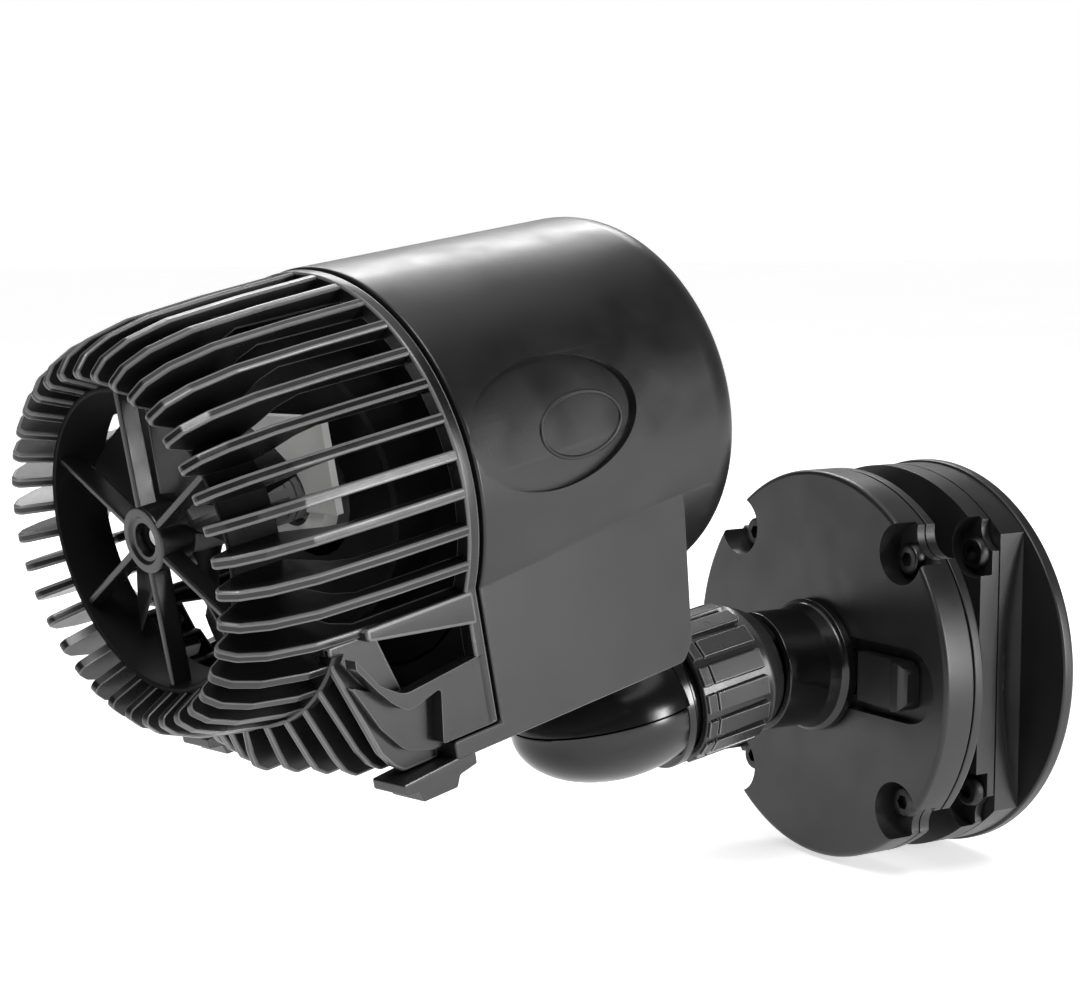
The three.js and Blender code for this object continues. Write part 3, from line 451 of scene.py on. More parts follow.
# edge sets the colour of each edge twin, a painted highlight on rounded edges; the fins, nut and grey hub get
# the brightest
SATIN = moulded("satin_black_abs", 0.006, 0.011, 0.36)
BODY = moulded("body_black_abs", 0.005, 0.009, 0.34)
GLOSS = moulded("gloss_black_abs", 0.003, 0.006, 0.2, grain=900.0, depth=0.00001)
FINS = moulded("cage_black_abs", 0.004, 0.008, 0.3, edge=0.13, edge_rough=0.3)
MATT = moulded("matt_black_abs", 0.0015, 0.003, 0.6, edge=0.01, edge_rough=0.4, shine=0.15)
RIBBED = moulded("ribbed_black_abs", 0.012, 0.022, 0.28, edge=0.16)
BLADES = moulded("dark_impeller_plastic", 0.008, 0.016, 0.38, edge=0.04)
GREY = moulded("grey_plastic", 0.1, 0.18, 0.35, edge=0.3)
# the scoops' rougher finish is real; their lighter grey tone is a painted sheen, the light their facets catch
GRIP = moulded("grip_black_abs_painted_sheen", 0.035, 0.06, 0.5)
RUBBER = rubber_like("black_rubber", 0.008)
PALE = pale_like("pale_plastic", 0.62, 0.74, 0.4)
CERAMIC = pale_like("white_ceramic", 0.74, 0.84, 0.22)
STEEL = metal_like("stainless_steel", 0.35, 0.6, 0.28)
BLACK_STEEL = metal_like("blackened_steel", 0.03, 0.07, 0.35)
MAGNET = metal_like("coated_magnet", 0.1, 0.2, 0.42)
LAMINATE = metal_like("steel_laminations", 0.16, 0.34, 0.45, stretch=(8.0, 1.0, 1.0))
COPPER = metal_like("enamelled_copper", 0.22, 0.42, 0.3, stretch=(1.0, 7.0, 7.0), warm=0.55)
EPOXY = moulded("cast_epoxy", 0.004, 0.008, 0.3, grain=400.0, depth=0.00005)


# ---------- magnet bases ----------
def ring_profile(points):
    return rounded(points, closed=True)


def around(pitch, angle):
    return pitch * math.cos(angle), pitch * math.sin(angle)


def diagonal_holes(x0, x1, radius, pitch, turns=SMALL_TURN):
    return [prism(circle(*around(pitch, a), radius, turns), x0, x1) for a in DIAGONALS]


def latch_recess():
    rear = WET_FRONT + 1.9
    slot = [(-9.0, -6.3), (-9.0, 6.3)]
    slot += [(-24.5 + 6.3 * math.cos(a), 6.3 * math.sin(a))
             for a in [math.pi / 2 + math.pi * i / 24 for i in range(25)]]
    return prism(slot, WET_FRONT - 1, rear)


def wet_cover():
    body = lathe(ring_profile([
        (WET_FRONT, NECK_PLUG_R + GAP), (WET_FRONT, DISC_R, 0.9), (WET_SPLIT - 0.15, DISC_R, 0.3),
        (WET_SPLIT - 0.15, 24.4), (WET_FRONT + 2.6, 24.4), (WET_FRONT + 2.6, NECK_PLUG_R + GAP),
    ]), FINE_TURN, closed=True)
    body = cut(body, *diagonal_holes(WET_FRONT - 1, POCKET_FLOOR, POCKET_R, POCKET_PITCH_R),
               *diagonal_holes(WET_FRONT - 1, WET_BACK, NOTCH_R, NOTCH_PITCH_R),
               *diagonal_holes(-7, -3, SCREW_SHANK_R + GAP, SCREW_PITCH_R), latch_recess())
    return eased(body, 0.28)


def wet_base_plate():
    body = lathe(rounded([
        (WET_SPLIT + 0.15, 0), (WET_SPLIT + 0.15, DISC_R, 0.2), (WET_BACK, DISC_R, 0.5), (WET_BACK, 0),
    ]), FINE_TURN)
    body = cut(body, *diagonal_holes(WET_SPLIT - 1, WET_BACK + 1, NOTCH_R, NOTCH_PITCH_R),
               *diagonal_holes(WET_SPLIT - 1, WET_BACK + 1, SCREW_SHANK_R + GAP, SCREW_PITCH_R))
    return eased(body, 0.18)


def pad(x_back, x_face, radius):
    profile = [(x_back, 0), (x_back, radius, 0.1), (x_face, radius, 0.35), (x_face, 0)]
    return lathe(rounded(profile), FINE_TURN)


def flatted_disc(radius, half, turns=FINE_TURN):
    corner = math.acos(half / radius)
    points = []
    for start, stop in ((corner, math.pi - corner), (math.pi + corner, 2 * math.pi - corner)):
        for i in range(turns // 2 + 1):
            points.append(around(radius, start + (stop - start) * i / (turns // 2)))
    return points


def dry_cover():
    body = prism(flatted_disc(DISC_R, GRIP_HALF), DRY_FRONT, DRY_SPLIT - 0.15)
    body = cut(body, *diagonal_holes(DRY_FRONT - 1, DRY_POCKET_FLOOR, POCKET_R, POCKET_PITCH_R),
               *diagonal_holes(DRY_FRONT - 1, DRY_SPLIT + 1, NOTCH_R, NOTCH_PITCH_R),
               *diagonal_holes(DRY_FRONT, DRY_SPLIT + 1, SCREW_SHANK_R + GAP, SCREW_PITCH_R))
    return eased(body, 0.28)


def finger_scoop(side):
    steps = 32
    profile = []
    for i in range(steps + 1):
        z = -GRIP_HALF + 2 * GRIP_HALF * i / steps
        profile.append((z, max(4.2 * (1 - (z / GRIP_HALF) ** 2), 0)))
    spindle = moved(lathe(profile, MID_TURN, axis="Z"), Matrix.Translation((FLANGE_X, side * GRIP_HALF, 0)))
    near = sorted((side * (GRIP_HALF - 6), side * (GRIP_HALF + 6)))
    scoop = common(spindle, prism(box_outline(DRY_SPLIT, FLANGE_X, *near), -30, 30, "Z"))
    for face in scoop.faces:
        face.material_index = GRIP_INDEX
    return scoop


def dry_shell():
    drum = prism(flatted_disc(DISC_R, GRIP_HALF), DRY_SPLIT + 0.15, FLANGE_X + 0.6)
    flange = lathe(rounded([
        (FLANGE_X, 0), (FLANGE_X, FLANGE_R, 0.5), (18.4, FLANGE_R, 1.0), (DRY_BACK, FLANGE_R - 2.6, 1.2),
        (DRY_BACK, 0),
    ]), FINE_TURN)
    body = union(drum, flange)
    body = cut(body, finger_scoop(-1), finger_scoop(1))
    return eased(body, 0.28)


def screw(x0, length, y, z):
    body = lathe(rounded([
        (0, 0), (0, SCREW_HEAD_R - 0.2, 0.7), (0.9, SCREW_HEAD_R, 0.3), (1.6, SCREW_HEAD_R, 0.1),
        (1.6, SCREW_SHANK_R), (length, SCREW_SHANK_R, 0.2), (length, 0),
    ]), SMALL_TURN)
    body = cut(body, prism(circle(0, 0, 1.3, 6), -1, 1.0))
    return moved(body, Matrix.Translation((x0, y, z)))


def latch_tab():
    """Flat tongue with a raised rounded lip at its outer end."""
    low = WET_FRONT + 1.9 - GAP
    top = WET_FRONT - 0.9
    lip = WET_FRONT - 2.3
    side = rounded([
        (low, -12.6), (top, -12.6, 0.3), (top, -21.6, 0.8), (lip, -22.8, 0.9), (lip, -24.9, 0.9),
        (top, -25.6, 0.5), (low, -25.6),
    ], closed=True)
    plan = rounded([(-12.6, -4.2, 0.4), (-12.6, 4.2, 0.4), (-25.6, 4.2, 2.4), (-25.6, -4.2, 2.4)],
                   closed=True, steps=8)
    return eased(common(prism(side, -5, 5, "Z"), prism(plan, WET_FRONT - 3, low + 1)), 0.4, segments=3)


# ---------- neck, nut, elbow ----------
def arc(center, radius, start, stop, steps):
    angles = [start + (stop - start) * i / steps for i in range(steps + 1)]
    return [(center + radius * math.cos(a), radius * math.sin(a)) for a in angles]


def neck():
    stem_join = math.asin(STEM_R / BALL_R)
    cup_rim = math.acos((NECK_RIM_X - BALL_X) / CUP_R)
    cup_floor = math.asin(STEM_R / CUP_R)
    rim_r = CUP_R * math.sin(cup_rim)
    outside = rounded([
        (NECK_RIM_X, rim_r), (NECK_RIM_X + 0.35, NECK_R, 0.3), (-14.6, NECK_R, 2.0), (-12.1, 10.8, 1.2),
        (-11.6, 11.6, 0.3), (WET_FRONT - GAP, 11.6, 0.3), (WET_FRONT - GAP, NECK_PLUG_R),
        (WET_SPLIT - 1.2, NECK_PLUG_R, 0.3), (WET_SPLIT - 1.2, 0),
    ], steps=6)
    return lathe([
        *arc(BALL_X, BALL_R, math.pi, stem_join, 40)[:-1], (BALL_X + BALL_R * math.cos(stem_join), STEM_R),
        *arc(BALL_X, CUP_R, cup_floor, cup_rim, 16)[:-1], *outside,
    ], FINE_TURN)


def nut():
    shell = lathe([
        *rounded([(-10.7, 10.6), (-10.8, 11.0, 0.2), (-10.7, 11.7, 0.3), (3.3, 11.2)]),
        *arc(0, NUT_END_R, 1.24, 0.93, 10), *arc(0, BALL_R + GAP, 0.96, math.pi / 2, 10), (-0.3, 10.6),
    ], FINE_TURN, closed=True)
    parts = [shell]
    rib_count = 16
    for i in range(rib_count):
        turn = Matrix.Rotation(2 * math.pi * i / rib_count, 4, "X")
        section = rounded([(-1.8, 10.9), (1.8, 10.9), (1.62, 12.16, 0.25), (-1.62, 12.16, 0.25)], closed=True)
        parts.append(moved(prism(section, -8.2, 2.2, bevel=0.22), turn))
        parts.append(moved(prism(section, -10.35, -8.55, bevel=0.22), turn))
    return joined(*parts)


def flattened_ball(inset):
    angles = [math.pi * i / BALL_STEPS for i in range(BALL_STEPS + 1)]
    bm = lathe([(math.cos(a), math.sin(a)) for a in angles], MID_TURN, axis="Z")
    bm.transform(Matrix.Diagonal((*[half - inset for half in ELBOW_HALVES], 1)))
    return moved(bm, Matrix.Translation((-ARM_LENGTH + 1.2, 0, 0)))


def at_swivel(bm):
    return moved(bm, Matrix.Translation((-ARM_LENGTH, 0, 0)))


def elbow():
    spigot = lathe([
        (-19.0, 0), (-19.0, CORE_R), (COLLAR_REAR, CORE_R),
        *rounded([(COLLAR_REAR, 10.6), (-14.7, 11.9, 0.5), (-12.8, 11.9, 0.4), (-12.6, SPIGOT_R + 0.6)])[1:],
        (-12.6, SPIGOT_R), (-1.0, SPIGOT_R), *arc(0, BALL_R + GAP, 1.68, 2.35, 12), (-12.0, 6.3), (-12.0, 0),
    ], FINE_TURN)
    rear = prism(box_outline(-60, COLLAR_REAR + 0.3, -30, 30), ELBOW_SPLIT + GAP / 2, 30, "Z")
    stem = at_swivel(lathe(rounded([
        (0, 0), (0, 12.6), (3, 12.6), (5.6, 10.6, 3.0), (9.5, ELBOW_R, 2.0),
        (STEM_TOP, ELBOW_R, 0.3), (STEM_TOP, 0),
    ], steps=8), MID_TURN, axis="Z"))
    saddle_front, saddle_r = COLLAR_REAR + 0.3, 10.9
    saddle = lathe([(-ARM_LENGTH, 0), (-ARM_LENGTH, saddle_r), (saddle_front, saddle_r), (saddle_front, 0)],
                   MID_TURN)
    upper = common(union(flattened_ball(0), saddle, stem), rear)
    core = at_swivel(lathe([(-5, 0), (-5, CORE_R), (5, CORE_R), (5, 0)], MID_TURN, axis="Z"))
    body = union(spigot, upper, core)
    return eased(body, 0.3)


def elbow_cap():
    wall = 1.8
    front = COLLAR_REAR - GAP
    lower = prism(box_outline(-60, front, -30, 30), -30, ELBOW_SPLIT - GAP / 2, "Z")
    inner = prism(box_outline(-60, front - wall, -30, 30), -30, 30, "Z")
    passage = lathe([(-19.3, 0), (-19.3, CORE_R + GAP), (front + 1, CORE_R + GAP), (front + 1, 0)], MID_TURN)
    body = common(flattened_ball(0), lower)
    body = cut(body, common(flattened_ball(wall), inner), passage)
    return eased(body, 0.25)


def swivel_washer():
    return at_swivel(lathe(ring_profile([
        (STEM_TOP + GAP, 3.2), (STEM_TOP + GAP, 8.9, 0.2), (STEM_TOP + 1.2, 8.9, 0.2), (STEM_TOP + 1.2, 3.2),
    ]), MID_TURN, closed=True, axis="Z"))


# ---------- motor ----------
def inset_cutter():
    """Oval press mark: its floor dips below the barrel's skin towards the rear."""
    turns = 96
    oval = [(INSET_X + INSET_HALF_LENGTH * math.cos(2 * math.pi * i / turns),
             INSET_HALF_WIDTH * math.sin(2 * math.pi * i / turns)) for i in range(turns)]
    rear = INSET_X + INSET_HALF_LENGTH + 2
    skin = lathe([(35, 31.3), (35, 42), (rear, 42), (rear, 29.4)], 2 * MID_TURN, closed=True)
    mark = moved(prism(oval, -40, -20, "Y"), Matrix.Rotation(-math.radians(INSET_LIFT), 4, "X"))
    return common(skin, mark)


def inset_line():
    """Fine raised oval line on the floor of the press mark."""
    turns = 96
    points = []
    for i in range(turns):
        angle = 2 * math.pi * i / turns
        along = 58.0 + 8.2 * math.cos(angle)
        across = -1.6 + 4.6 * math.sin(angle)
        floor = 31.3 + (29.4 - 31.3) * (along - 35) / (INSET_X + INSET_HALF_LENGTH + 2 - 35)
        points.append(Vector((along, -math.sqrt(floor * floor - across * across), across)))
    return moved(tube_along(points, 0.32), Matrix.Rotation(-math.radians(INSET_LIFT), 4, "X"))


def housing():
    barrel = lathe(rounded([
        (39.2, 0), (39.2, 29.3), (SEAM_X + GAP, 29.3), (SEAM_X + GAP, BARREL_FRONT_R, 0.5),
        (BARREL_REAR, BARREL_REAR_R, 7.4), (BARREL_REAR, 0),
    ], steps=16), 2 * MID_TURN)
    side = rounded([
        (SEAM_X + GAP, -10), (SEAM_X + GAP, TONGUE_TOP), (TONGUE_X, TONGUE_TOP, 0.5),
        (TONGUE_X, BLOCK_BOTTOM, 0.5),
        (73.4, BLOCK_BOTTOM, 2.0), (75.6, -34.6, 2.0), (BLOCK_REAR, -14.0), (BLOCK_REAR, -10),
    ], closed=True)
    block = prism(side, -BLOCK_HALF, BLOCK_HALF, "Y", bevel=0.55, segments=3)
    boss_profile = rounded([(BLOCK_BOTTOM, 0), (BLOCK_BOTTOM, 9.8, 0.4), (-24, 9.8), (-24, 0)])
    boss = moved(lathe(boss_profile, MID_TURN, axis="Z"), Matrix.Translation((SWIVEL_X, 0, 0)))
    mouth = lathe([(SEAM_X - 2, 0), (SEAM_X - 2, 29.3), (39.2, 29.3), (39.2, 0)], MID_TURN)
    body = union(barrel, block, boss)
    body = cut(body, mouth, inset_cutter())
    body = eased(body, 0.3, angle=30)
    parts = [body, inset_line()]
    for side_sign in (-1, 1):
        y = sorted((side_sign * 20.5, side_sign * 27.8))
        foot = rounded([
            (30.5, BLOCK_BOTTOM + 0.5), (17.2, BLOCK_BOTTOM - GAP, 0.4), (17.2, -39.3, 0.4),
            (19.6, -39.6, 0.6),
            (20.2, FOOT_BOTTOM, 0.4), (26.4, FOOT_BOTTOM, 0.4), (27.2, -39.6, 0.6), (30.5, -39.0),
        ], closed=True)
        parts.append(prism(foot, *y, "Y", bevel=0.3))
    return joined(*parts)


def rotor_cover():
    # The pale plate stops at KEEPER_LOW, so it is pale only over its upper part; below it the dark nose shows
    # where the plate lies in shade: painted shade.
    plate = prism(box_outline(-KEEPER_HALF, KEEPER_HALF, KEEPER_LOW, KEEPER_TOP, 0.8), KEEPER_FRONT,
                  KEEPER_FRONT + 1.2, bevel=0.3)
    rim = prism(box_outline(-KEEPER_HALF, -KEEPER_HALF + 0.9, KEEPER_LOW, KEEPER_TOP, 0.3),
                KEEPER_FRONT, KEEPER_FRONT + 1.2)
    standoff = lathe([(KEEPER_FRONT + 0.6, 0), (KEEPER_FRONT + 0.6, 8.0), (NOSE_FRONT - GAP, 8.0),
                      (NOSE_FRONT - GAP, 0)], MID_TURN)
    return cut(union(plate, rim, standoff), prism(circle(0, 0, 4.8), KEEPER_FRONT - 1, NOSE_FRONT + 1))


def blade(start):
    steps = 14
    spans = [(3.2, 0.75), (7.0, 0.8), (12.0, 0.85), (16.0, 0.7), (BLADE_TIP_R, 0.42)]
    bm = bmesh.new()
    rows = []
    for i in range(steps + 1):
        t = i / steps
        angle = start + BLADE_TWIST * (t + 0.25 * t * t)
        edge = min(1.0, 0.35 + 3.2 * min(t, 1 - t))
        x = BLADE_FRONT + t * BLADE_LENGTH
        section = [(r, -w * edge) for r, w in spans] + [(r, w * edge) for r, w in reversed(spans)]
        c, d = math.cos(angle), math.sin(angle)
        rows.append([bm.verts.new((x, r * c - w * d, r * d + w * c)) for r, w in section])
    for one, two in zip(rows, rows[1:]):
        for i in range(len(one)):
            j = (i + 1) % len(one)
            bm.faces.new((one[i], one[j], two[j], two[i]))
    bm.faces.new(rows[0])
    bm.faces.new(rows[-1])
    bmesh.ops.recalc_face_normals(bm, faces=bm.faces)
    return bm


def impeller_hub():
    front = HUB_REAR + 0.9
    profile = [(front, 0), (front, SLEEVE_R, 0.3), (IMPELLER_REAR, SLEEVE_R, 0.2), (IMPELLER_REAR, 0)]
    hub = lathe(rounded(profile), MID_TURN)
    flutes = [prism(circle(*around(SLEEVE_R + 0.35, 2 * math.pi * i / 10), 0.75, 16),
                    BLADE_FRONT + BLADE_LENGTH + 0.4, IMPELLER_REAR - 1.2) for i in range(10)]
    return cut(hub, *flutes, prism(circle(0, 0, SHAFT_R + 0.1), front - 1, IMPELLER_REAR + 1))


def impeller_blades():
    front = HUB_REAR + 0.9
    parts = []
    for k in range(BLADE_COUNT):
        clear_r, clear_front = HUB_R + 0.8, BLADE_FRONT - 1
        clear = lathe([(clear_front, 0), (clear_front, clear_r), (front, clear_r), (front, 0)], MID_TURN)
        bore = prism(circle(0, 0, SHAFT_R + 0.6), front - 1, IMPELLER_REAR)
        parts.append(cut(blade(2 * math.pi * k / BLADE_COUNT + 0.35), clear, bore))
    return joined(*parts)


# ---------- cage ----------
def fin_outline(rear):
    is_long = rear > 20
    outer = [(rear, CAGE_R - 0.1), (20, 31.0)] if is_long else [(rear, 30.6, 0.5)]
    inner = [(12.2, 27.2, 1.5), (15, 28.7), (rear, 28.7)] if is_long else [(12.2, 27.2), (rear, 28.0, 0.4)]
    return rounded([
        *outer, (8, 30.3, 3.0), (1, 28.9, 3.0), (-2.9, 27.2, 1.5), (FIN_TIP, 25.2, 1.0), (-4.4, 24.0, 1.2),
        (0.3, OUTLET_R - 0.3), (DUCT_REAR - 0.3, OUTLET_R - 0.3), (10, 24.0, 1.0), *inner,
    ], closed=True)


def fin(angle, rear):
    plate = prism(fin_outline(rear), -FIN_THICK / 2, FIN_THICK / 2, "Y", bevel=0.42, segments=3)
    return moved(plate, Matrix.Rotation(angle, 4, "X"))


def duct():
    return lathe(ring_profile([
        (0.0, DUCT_R + 0.25, 0.3), (0.0, OUTLET_R, 0.4), (DUCT_REAR, OUTLET_R, 0.3), (DUCT_REAR, DUCT_R, 0.3),
    ]), FINE_TURN, closed=True)


def cage_hub():
    return lathe(ring_profile([
        (1.0, 3.1, 0.15), (0.6, 3.5, 0.2), (0.6, HUB_R, 0.5), (HUB_REAR, HUB_R, 0.3), (HUB_REAR, 2.9),
        (2.2, 2.9), (2.2, 2.4), (1.0, 2.4, 0.15),
    ]), MID_TURN, closed=True)


def spoke(angle):
    section = rounded([(0.7, -0.55, 0.4), (0.7, 0.55, 0.4), (3.9, 0.55, 0.4), (3.9, -0.55, 0.4)], closed=True)
    return moved(prism(section, HUB_R - 0.6, DUCT_R + 0.6, "Z"), Matrix.Rotation(angle, 4, "X"))


def frame_outline(grow):
    r = CAGE_R - grow
    half = BLOCK_HALF - grow
    start = math.asin(math.sqrt(r * r - half * half) / r)
    turns = MID_TURN
    points = [around(r, -start + (math.pi + 2 * start) * i / turns) for i in range(turns + 1)]
    return points + [(-half, TONGUE_TOP + GAP + grow), (half, TONGUE_TOP + GAP + grow)]


def rear_frame():
    outer = prism(frame_outline(0), FRAME_X, SEAM_X - GAP)
    return eased(cut(outer, prism(frame_outline(2.8), FRAME_X - 1, SEAM_X + 1)), 0.4, segments=3)


def side_wall(side, outline, depth, thick, bevel):
    return prism(outline, *sorted((-side * depth, -side * (depth - thick))), "Y", bevel=bevel)


def chin_plate(y):
    top = -math.sqrt(30.6 ** 2 - y * y)
    rake = 0.29 * abs(y)
    low = CHIN_BOTTOM if abs(y) < 18 else BLOCK_BOTTOM + GAP
    rear = TONGUE_X - 0.6
    outline = rounded([
        (11.1, top + 3.0), (11.1, top, 1.0), (11.1 + 0.8 * rake, low + 3.6, 2.0),
        (11.6 + rake, low + 1.2, 1.2),
        (13.2 + rake, low, 1.2), (rear, low, 0.5), (rear, TONGUE_TOP + GAP), (FRAME_X + 1, TONGUE_TOP + GAP),
        (FRAME_X + 1, TONGUE_TOP + 3.1), (24, TONGUE_TOP + 3.1), (19, top + 3.0),
    ], closed=True)
    return prism(outline, y - FIN_THICK / 2, y + FIN_THICK / 2, "Y", bevel=0.45, segments=3)


def side_cheek(side):
    """Ledge that carries on from a fin, the cheek behind it and the broad rail above."""
    ledge = rounded([
        (12.6, -18.0, 0.6), (13.1, -18.8), (15.9, -22.8, 3.0), (19.8, -25.3, 4.0), (34.4, -23.9),
        (34.4, -34.2), (25.0, -34.2, 0.4), (26.2, -26.3, 0.6), (20.0, -27.9, 4.0), (17.4, -25.7, 3.0),
        (15.4, -23.4), (12.6, -19.6, 0.6),
    ], closed=True)
    cheek = rounded([
        (14.0, -23.0), (12.8, -22.4, 0.6), (16.4, -29.5, 6.0), (19.9, -33.8, 4.0), (24.6, -35.2, 1.5),
        (26.4, -35.2),
        (26.4, -34.2), (34.4, -34.2), (34.4, -24.6), (20.0, -26.2),
    ], closed=True)
    rail = rounded([(15.2, -14.6), (15.2, -16.4, 0.8), (34.4, -19.4), (34.4, -14.6)], closed=True)
    return joined(
        side_wall(side, ledge, BLOCK_HALF, 2.4, 0.5),
        side_wall(side, cheek, BLOCK_HALF - 2.2, 1.6, 0.45),
        side_wall(side, rail, 28.2, 3.2, 0.5),
    )


def chin_arch():
    hoop = lathe(ring_profile([(11.0, 27.6, 0.3), (11.0, 30.9, 0.5), (13.0, 30.9, 0.5), (13.0, 27.6, 0.3)]),
                 FINE_TURN, closed=True)
    return common(hoop, prism(box_outline(-40, 40, -40, -17.6), 10, 14))


def cage():
    parts = [rear_frame(), cage_hub(), chin_arch(), side_cheek(-1), side_cheek(1)]
    for degrees in range(0, 360, FIN_PITCH):
        turn = min(degrees, 360 - degrees)
        rear = SEAM_X - GAP - 0.4
        if turn > PANEL_LIMIT:
            rear = 17.6 if 180 - turn > 35 else 13.0
        parts.append(fin(math.radians(degrees), rear))
    parts += [spoke(math.pi / 3 * i) for i in range(6)]
    parts += [chin_plate(31 * math.sin(math.radians(FIN_PITCH * k))) for k in range(-5, 6)]
    return joined(*parts)


# ---------- place everything ----------
def gland():
    body = lathe(ring_profile([
        (86.2, 2.6), (86.2, 6.4), (89.7, 6.4), (89.7, GLAND_R), (98.0, GLAND_R, 0.4), (98.0, 2.6, 0.2),
    ]), MID_TURN, closed=True)
    return moved(body, Matrix.Translation((0, 0, GLAND_Z)))


def gland_nut():
    rear = BARREL_REAR + 5.2
    body = prism(circle(0, GLAND_Z, 7.2, 6), BARREL_REAR + GAP, rear, bevel=0.4)
    return cut(body, prism(circle(0, GLAND_Z, GLAND_R + GAP), BARREL_REAR, rear + 1))


def build():
    piece("wet_cover_fine", wet_cover(), DISC, "glass_base", ["wet_cover"], SATIN)
    piece("wet_base_plate_fine", wet_base_plate(), DISC, "glass_base", ["wet_base_plate"], SATIN)
    piece("wet_pad_fine", pad(WET_BACK + GAP, 0, 26.5), DISC, "glass_base", ["wet_pad"], RUBBER)
    piece("dry_cover_fine", dry_cover(), DISC, "dry_half", ["dry_cover"], SATIN)
    shell = piece("dry_shell_fine", dry_shell(), DISC, "dry_half", ["dry_shell"], SATIN)
    shell.data.materials.append(GRIP)
    piece("dry_pad_fine", pad(DRY_FRONT - GAP, 5.0, 23.0), DISC, "dry_half", ["dry_pad"], RUBBER)
    for i, angle in enumerate(DIAGONALS, 1):
        spot = around(SCREW_PITCH_R, angle)
        piece(f"wet_screw_{i}_fine", screw(POCKET_FLOOR - 1.6 - GAP, 5.2, *spot), DISC, "glass_base",
              [f"wet_screw_{i}"], BLACK_STEEL)
        piece(f"dry_screw_{i}_fine", screw(DRY_POCKET_FLOOR - 1.6 - GAP, 9.0, *spot), DISC, "dry_half",
              [f"dry_screw_{i}"], BLACK_STEEL)
    piece("latch_tab_fine", latch_tab(), DISC, "latch", ["latch_tab"], SATIN)
    piece("neck_fine", neck(), DISC, "neck", ["neck_ball"], GLOSS)
    piece("nut_fine", nut(), ARM, "nut", ["clamp_nut"], RIBBED)
    piece("elbow_fine", elbow(), ARM, "elbow", ["elbow_arm"], GLOSS)
    piece("elbow_cap_fine", elbow_cap(), ARM, "elbow", ["elbow_cap"], GLOSS)
    piece("swivel_washer_fine", swivel_washer(), ARM, "pump_head", ["swivel_washer"], RUBBER)
    piece("housing_fine", housing(), PUMP, "pump_head", ["motor_housing"], BODY)
    piece("rotor_cover_fine", rotor_cover(), PUMP, "pump_head", ["rotor_cover"], PALE)
    piece("gland_fine", gland(), PUMP, "pump_head", ["cable_gland"], MATT)
    piece("gland_nut_fine", gland_nut(), PUMP, "pump_head", ["gland_nut"], MATT)
    piece("impeller_hub_fine", impeller_hub(), PUMP, "rotor", ["impeller"], GREY)
    piece("impeller_blades_fine", impeller_blades(), PUMP, "rotor", ["impeller"], BLADES)
    cage_nodes = ["outlet_ring", "cage_chin"] + [f"cage_panel_{i}" for i in range(1, 6)]
    piece("cage_fine", cage(), PUMP, "cage", cage_nodes, FINS)
    # the duct takes the darkest, least shiny black so the inside of the cage reads dark: painted shade
    piece("outlet_duct_fine", duct(), PUMP, "cage", ["outlet_ring"], MATT)


KEPT = {
    "rotor_well": MATT, "well_seal": RUBBER, "stator_core": LAMINATE, "potting_plug": EPOXY,
    "rear_bush": RUBBER, "front_bush": MATT, "shaft": CERAMIC, "thrust_washer": CERAMIC,
    "rotor_magnet": MAGNET, "rotor_sleeve": GREY,
    "wet_magnet": MAGNET, "dry_magnet": MAGNET, "neck_clip": STEEL, "ball_pad": RUBBER, "swivel_screw": STEEL,
    **{f"coil_{i}": COPPER for i in range(1, 7)},
}


def dress_kept_nodes():
    for name, material in KEPT.items():
        node = frame["nodes"][name]
        node.data.materials.clear()
        node.data.materials.append(material)
        modifier = node.modifiers.new("ease", "BEVEL")
        modifier.width = 0.15 * MM
        modifier.limit_method = "ANGLE"
        modifier.angle_limit = math.radians(40)


build()
dress_kept_nodes()


# ---------- floor, light, camera ----------
FLOOR_Z = cad_box[0][2] - 0.0004
STUDIO_DIM, SCREEN_LIGHT = 0.07, 0.45


def stage():
    bm = bmesh.new()
    bmesh.ops.create_grid(bm, x_segments=2, y_segments=2, size=6.0)
    mesh = bpy.data.meshes.new("floor")
    bm.to_mesh(mesh)
    bm.free()
    floor = bpy.data.objects.new("floor", mesh)
    floor.location = (0, 0, FLOOR_Z)
    bpy.context.scene.collection.objects.link(floor)
    n = Nodes("pale_floor")
    n.link(n.blend(n.spread(n.noise(3.0, 3.0), 0.0, 1.0), grey(0.86), grey(0.9)), "Base Color")
    n.set(Roughness=0.9, Specular_IOR_Level=0.1, Emission_Color=(1.0, 1.0, 1.0, 1.0), Emission_Strength=0.62)
    mesh.materials.append(n.material)


def softbox(name, location, target, size, power):
    light = bpy.data.lights.new(name, "AREA")
    light.shape = "RECTANGLE"
    light.size, light.size_y = size
    light.energy = power
    obj = bpy.data.objects.new(name, light)
    obj.location = location
    obj.rotation_euler = (Vector(target) - Vector(location)).to_track_quat("-Z", "Y").to_euler()
    bpy.context.scene.collection.objects.link(obj)


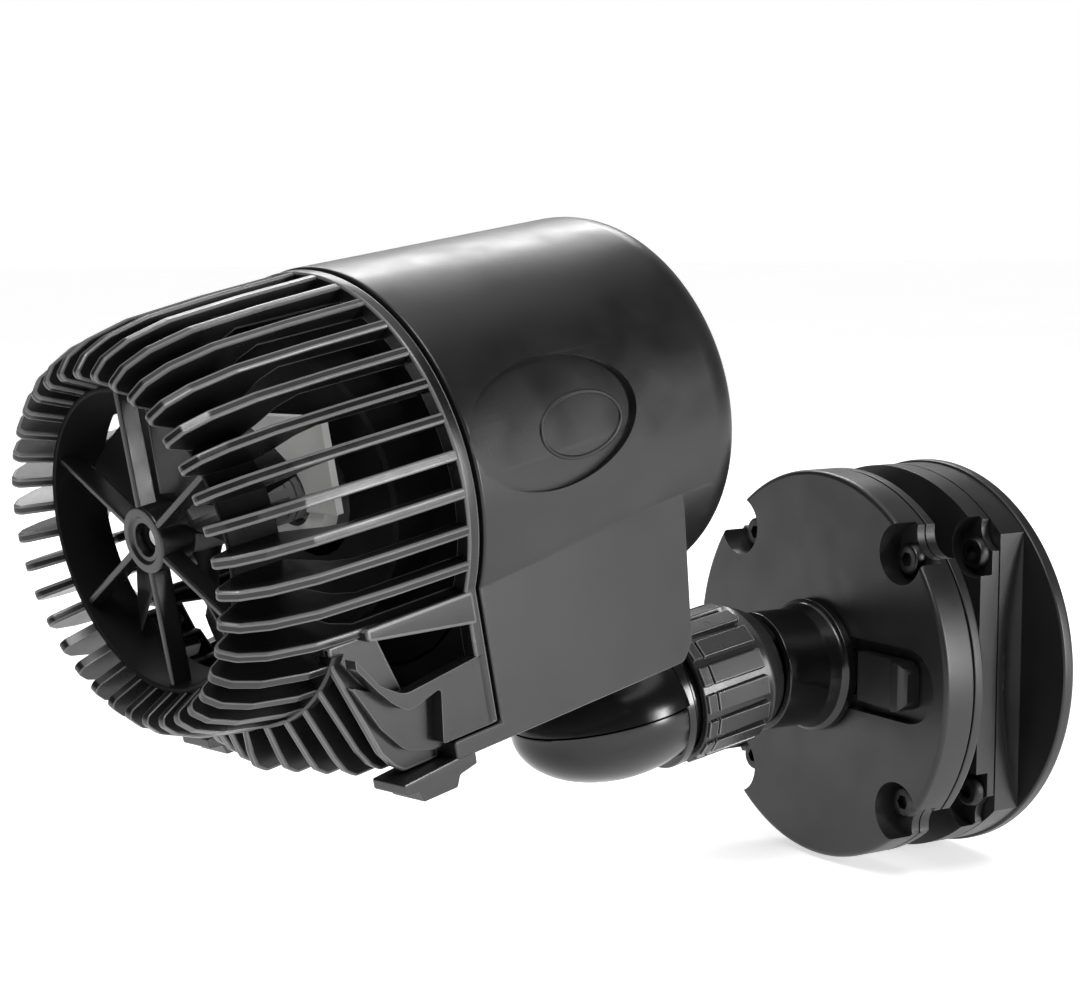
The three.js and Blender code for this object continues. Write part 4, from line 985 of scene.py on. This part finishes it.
def backdrop():
    """White surround to look at; what lights the object is a screen behind it and a dim room."""
    world = bpy.data.worlds.new("studio")
    bpy.context.scene.world = world
    world.use_nodes = True
    tree = world.node_tree
    direction = tree.nodes.new("ShaderNodeTexCoord").outputs["Generated"]
    facing = tree.nodes.new("ShaderNodeVectorMath")
    facing.operation = "DOT_PRODUCT"
    facing.inputs[1].default_value = (0.532, 0.847, -0.35)
    tree.links.new(direction, facing.inputs[0])
    spread = tree.nodes.new("ShaderNodeMapRange")
    spread.interpolation_type = "SMOOTHSTEP"
    limits = (("From Min", 0.2), ("From Max", 1.0), ("To Min", STUDIO_DIM), ("To Max", SCREEN_LIGHT))
    for key, number in limits:
        spread.inputs[key].default_value = number
    tree.links.new(facing.outputs["Value"], spread.inputs["Value"])
    seen = tree.nodes.new("ShaderNodeMix")
    tree.links.new(tree.nodes.new("ShaderNodeLightPath").outputs["Is Camera Ray"], seen.inputs[0])
    tree.links.new(spread.outputs["Result"], seen.inputs[2])
    seen.inputs[3].default_value = 1.0
    tree.links.new(seen.outputs[0], tree.nodes["Background"].inputs["Strength"])
    tree.nodes["Background"].inputs["Color"].default_value = (1.0, 1.0, 1.0, 1.0)


def lights():
    middle = (-0.06, 0.0, 0.02)
    softbox("key", (-0.36, -0.30, 0.55), middle, (0.16, 0.3), 2.6)
    softbox("side", (0.40, -0.70, 0.07), middle, (0.12, 0.5), 6.0)
    softbox("rim", (0.2, 0.5, 0.5), middle, (0.5, 0.12), 2.5)
    sky = bpy.data.lights.new("sky", "SUN")
    sky.energy = 1.0
    sky.angle = 1.2
    obj = bpy.data.objects.new("sky", sky)
    bpy.context.scene.collection.objects.link(obj)


def camera():
    data = bpy.data.cameras.new("camera")
    data.lens = 76.67
    data.sensor_width = 36.0
    data.clip_start = 0.01
    obj = bpy.data.objects.new("camera", data)
    obj.location = (-0.2620, -0.3109, 0.0755)
    obj.rotation_euler = (math.radians(83.26), 0.0, math.radians(-32.14))
    bpy.context.scene.collection.objects.link(obj)
    bpy.context.scene.camera = obj


bpy.context.scene.view_settings.view_transform = "Standard"
camera()
stage()
backdrop()
lights()
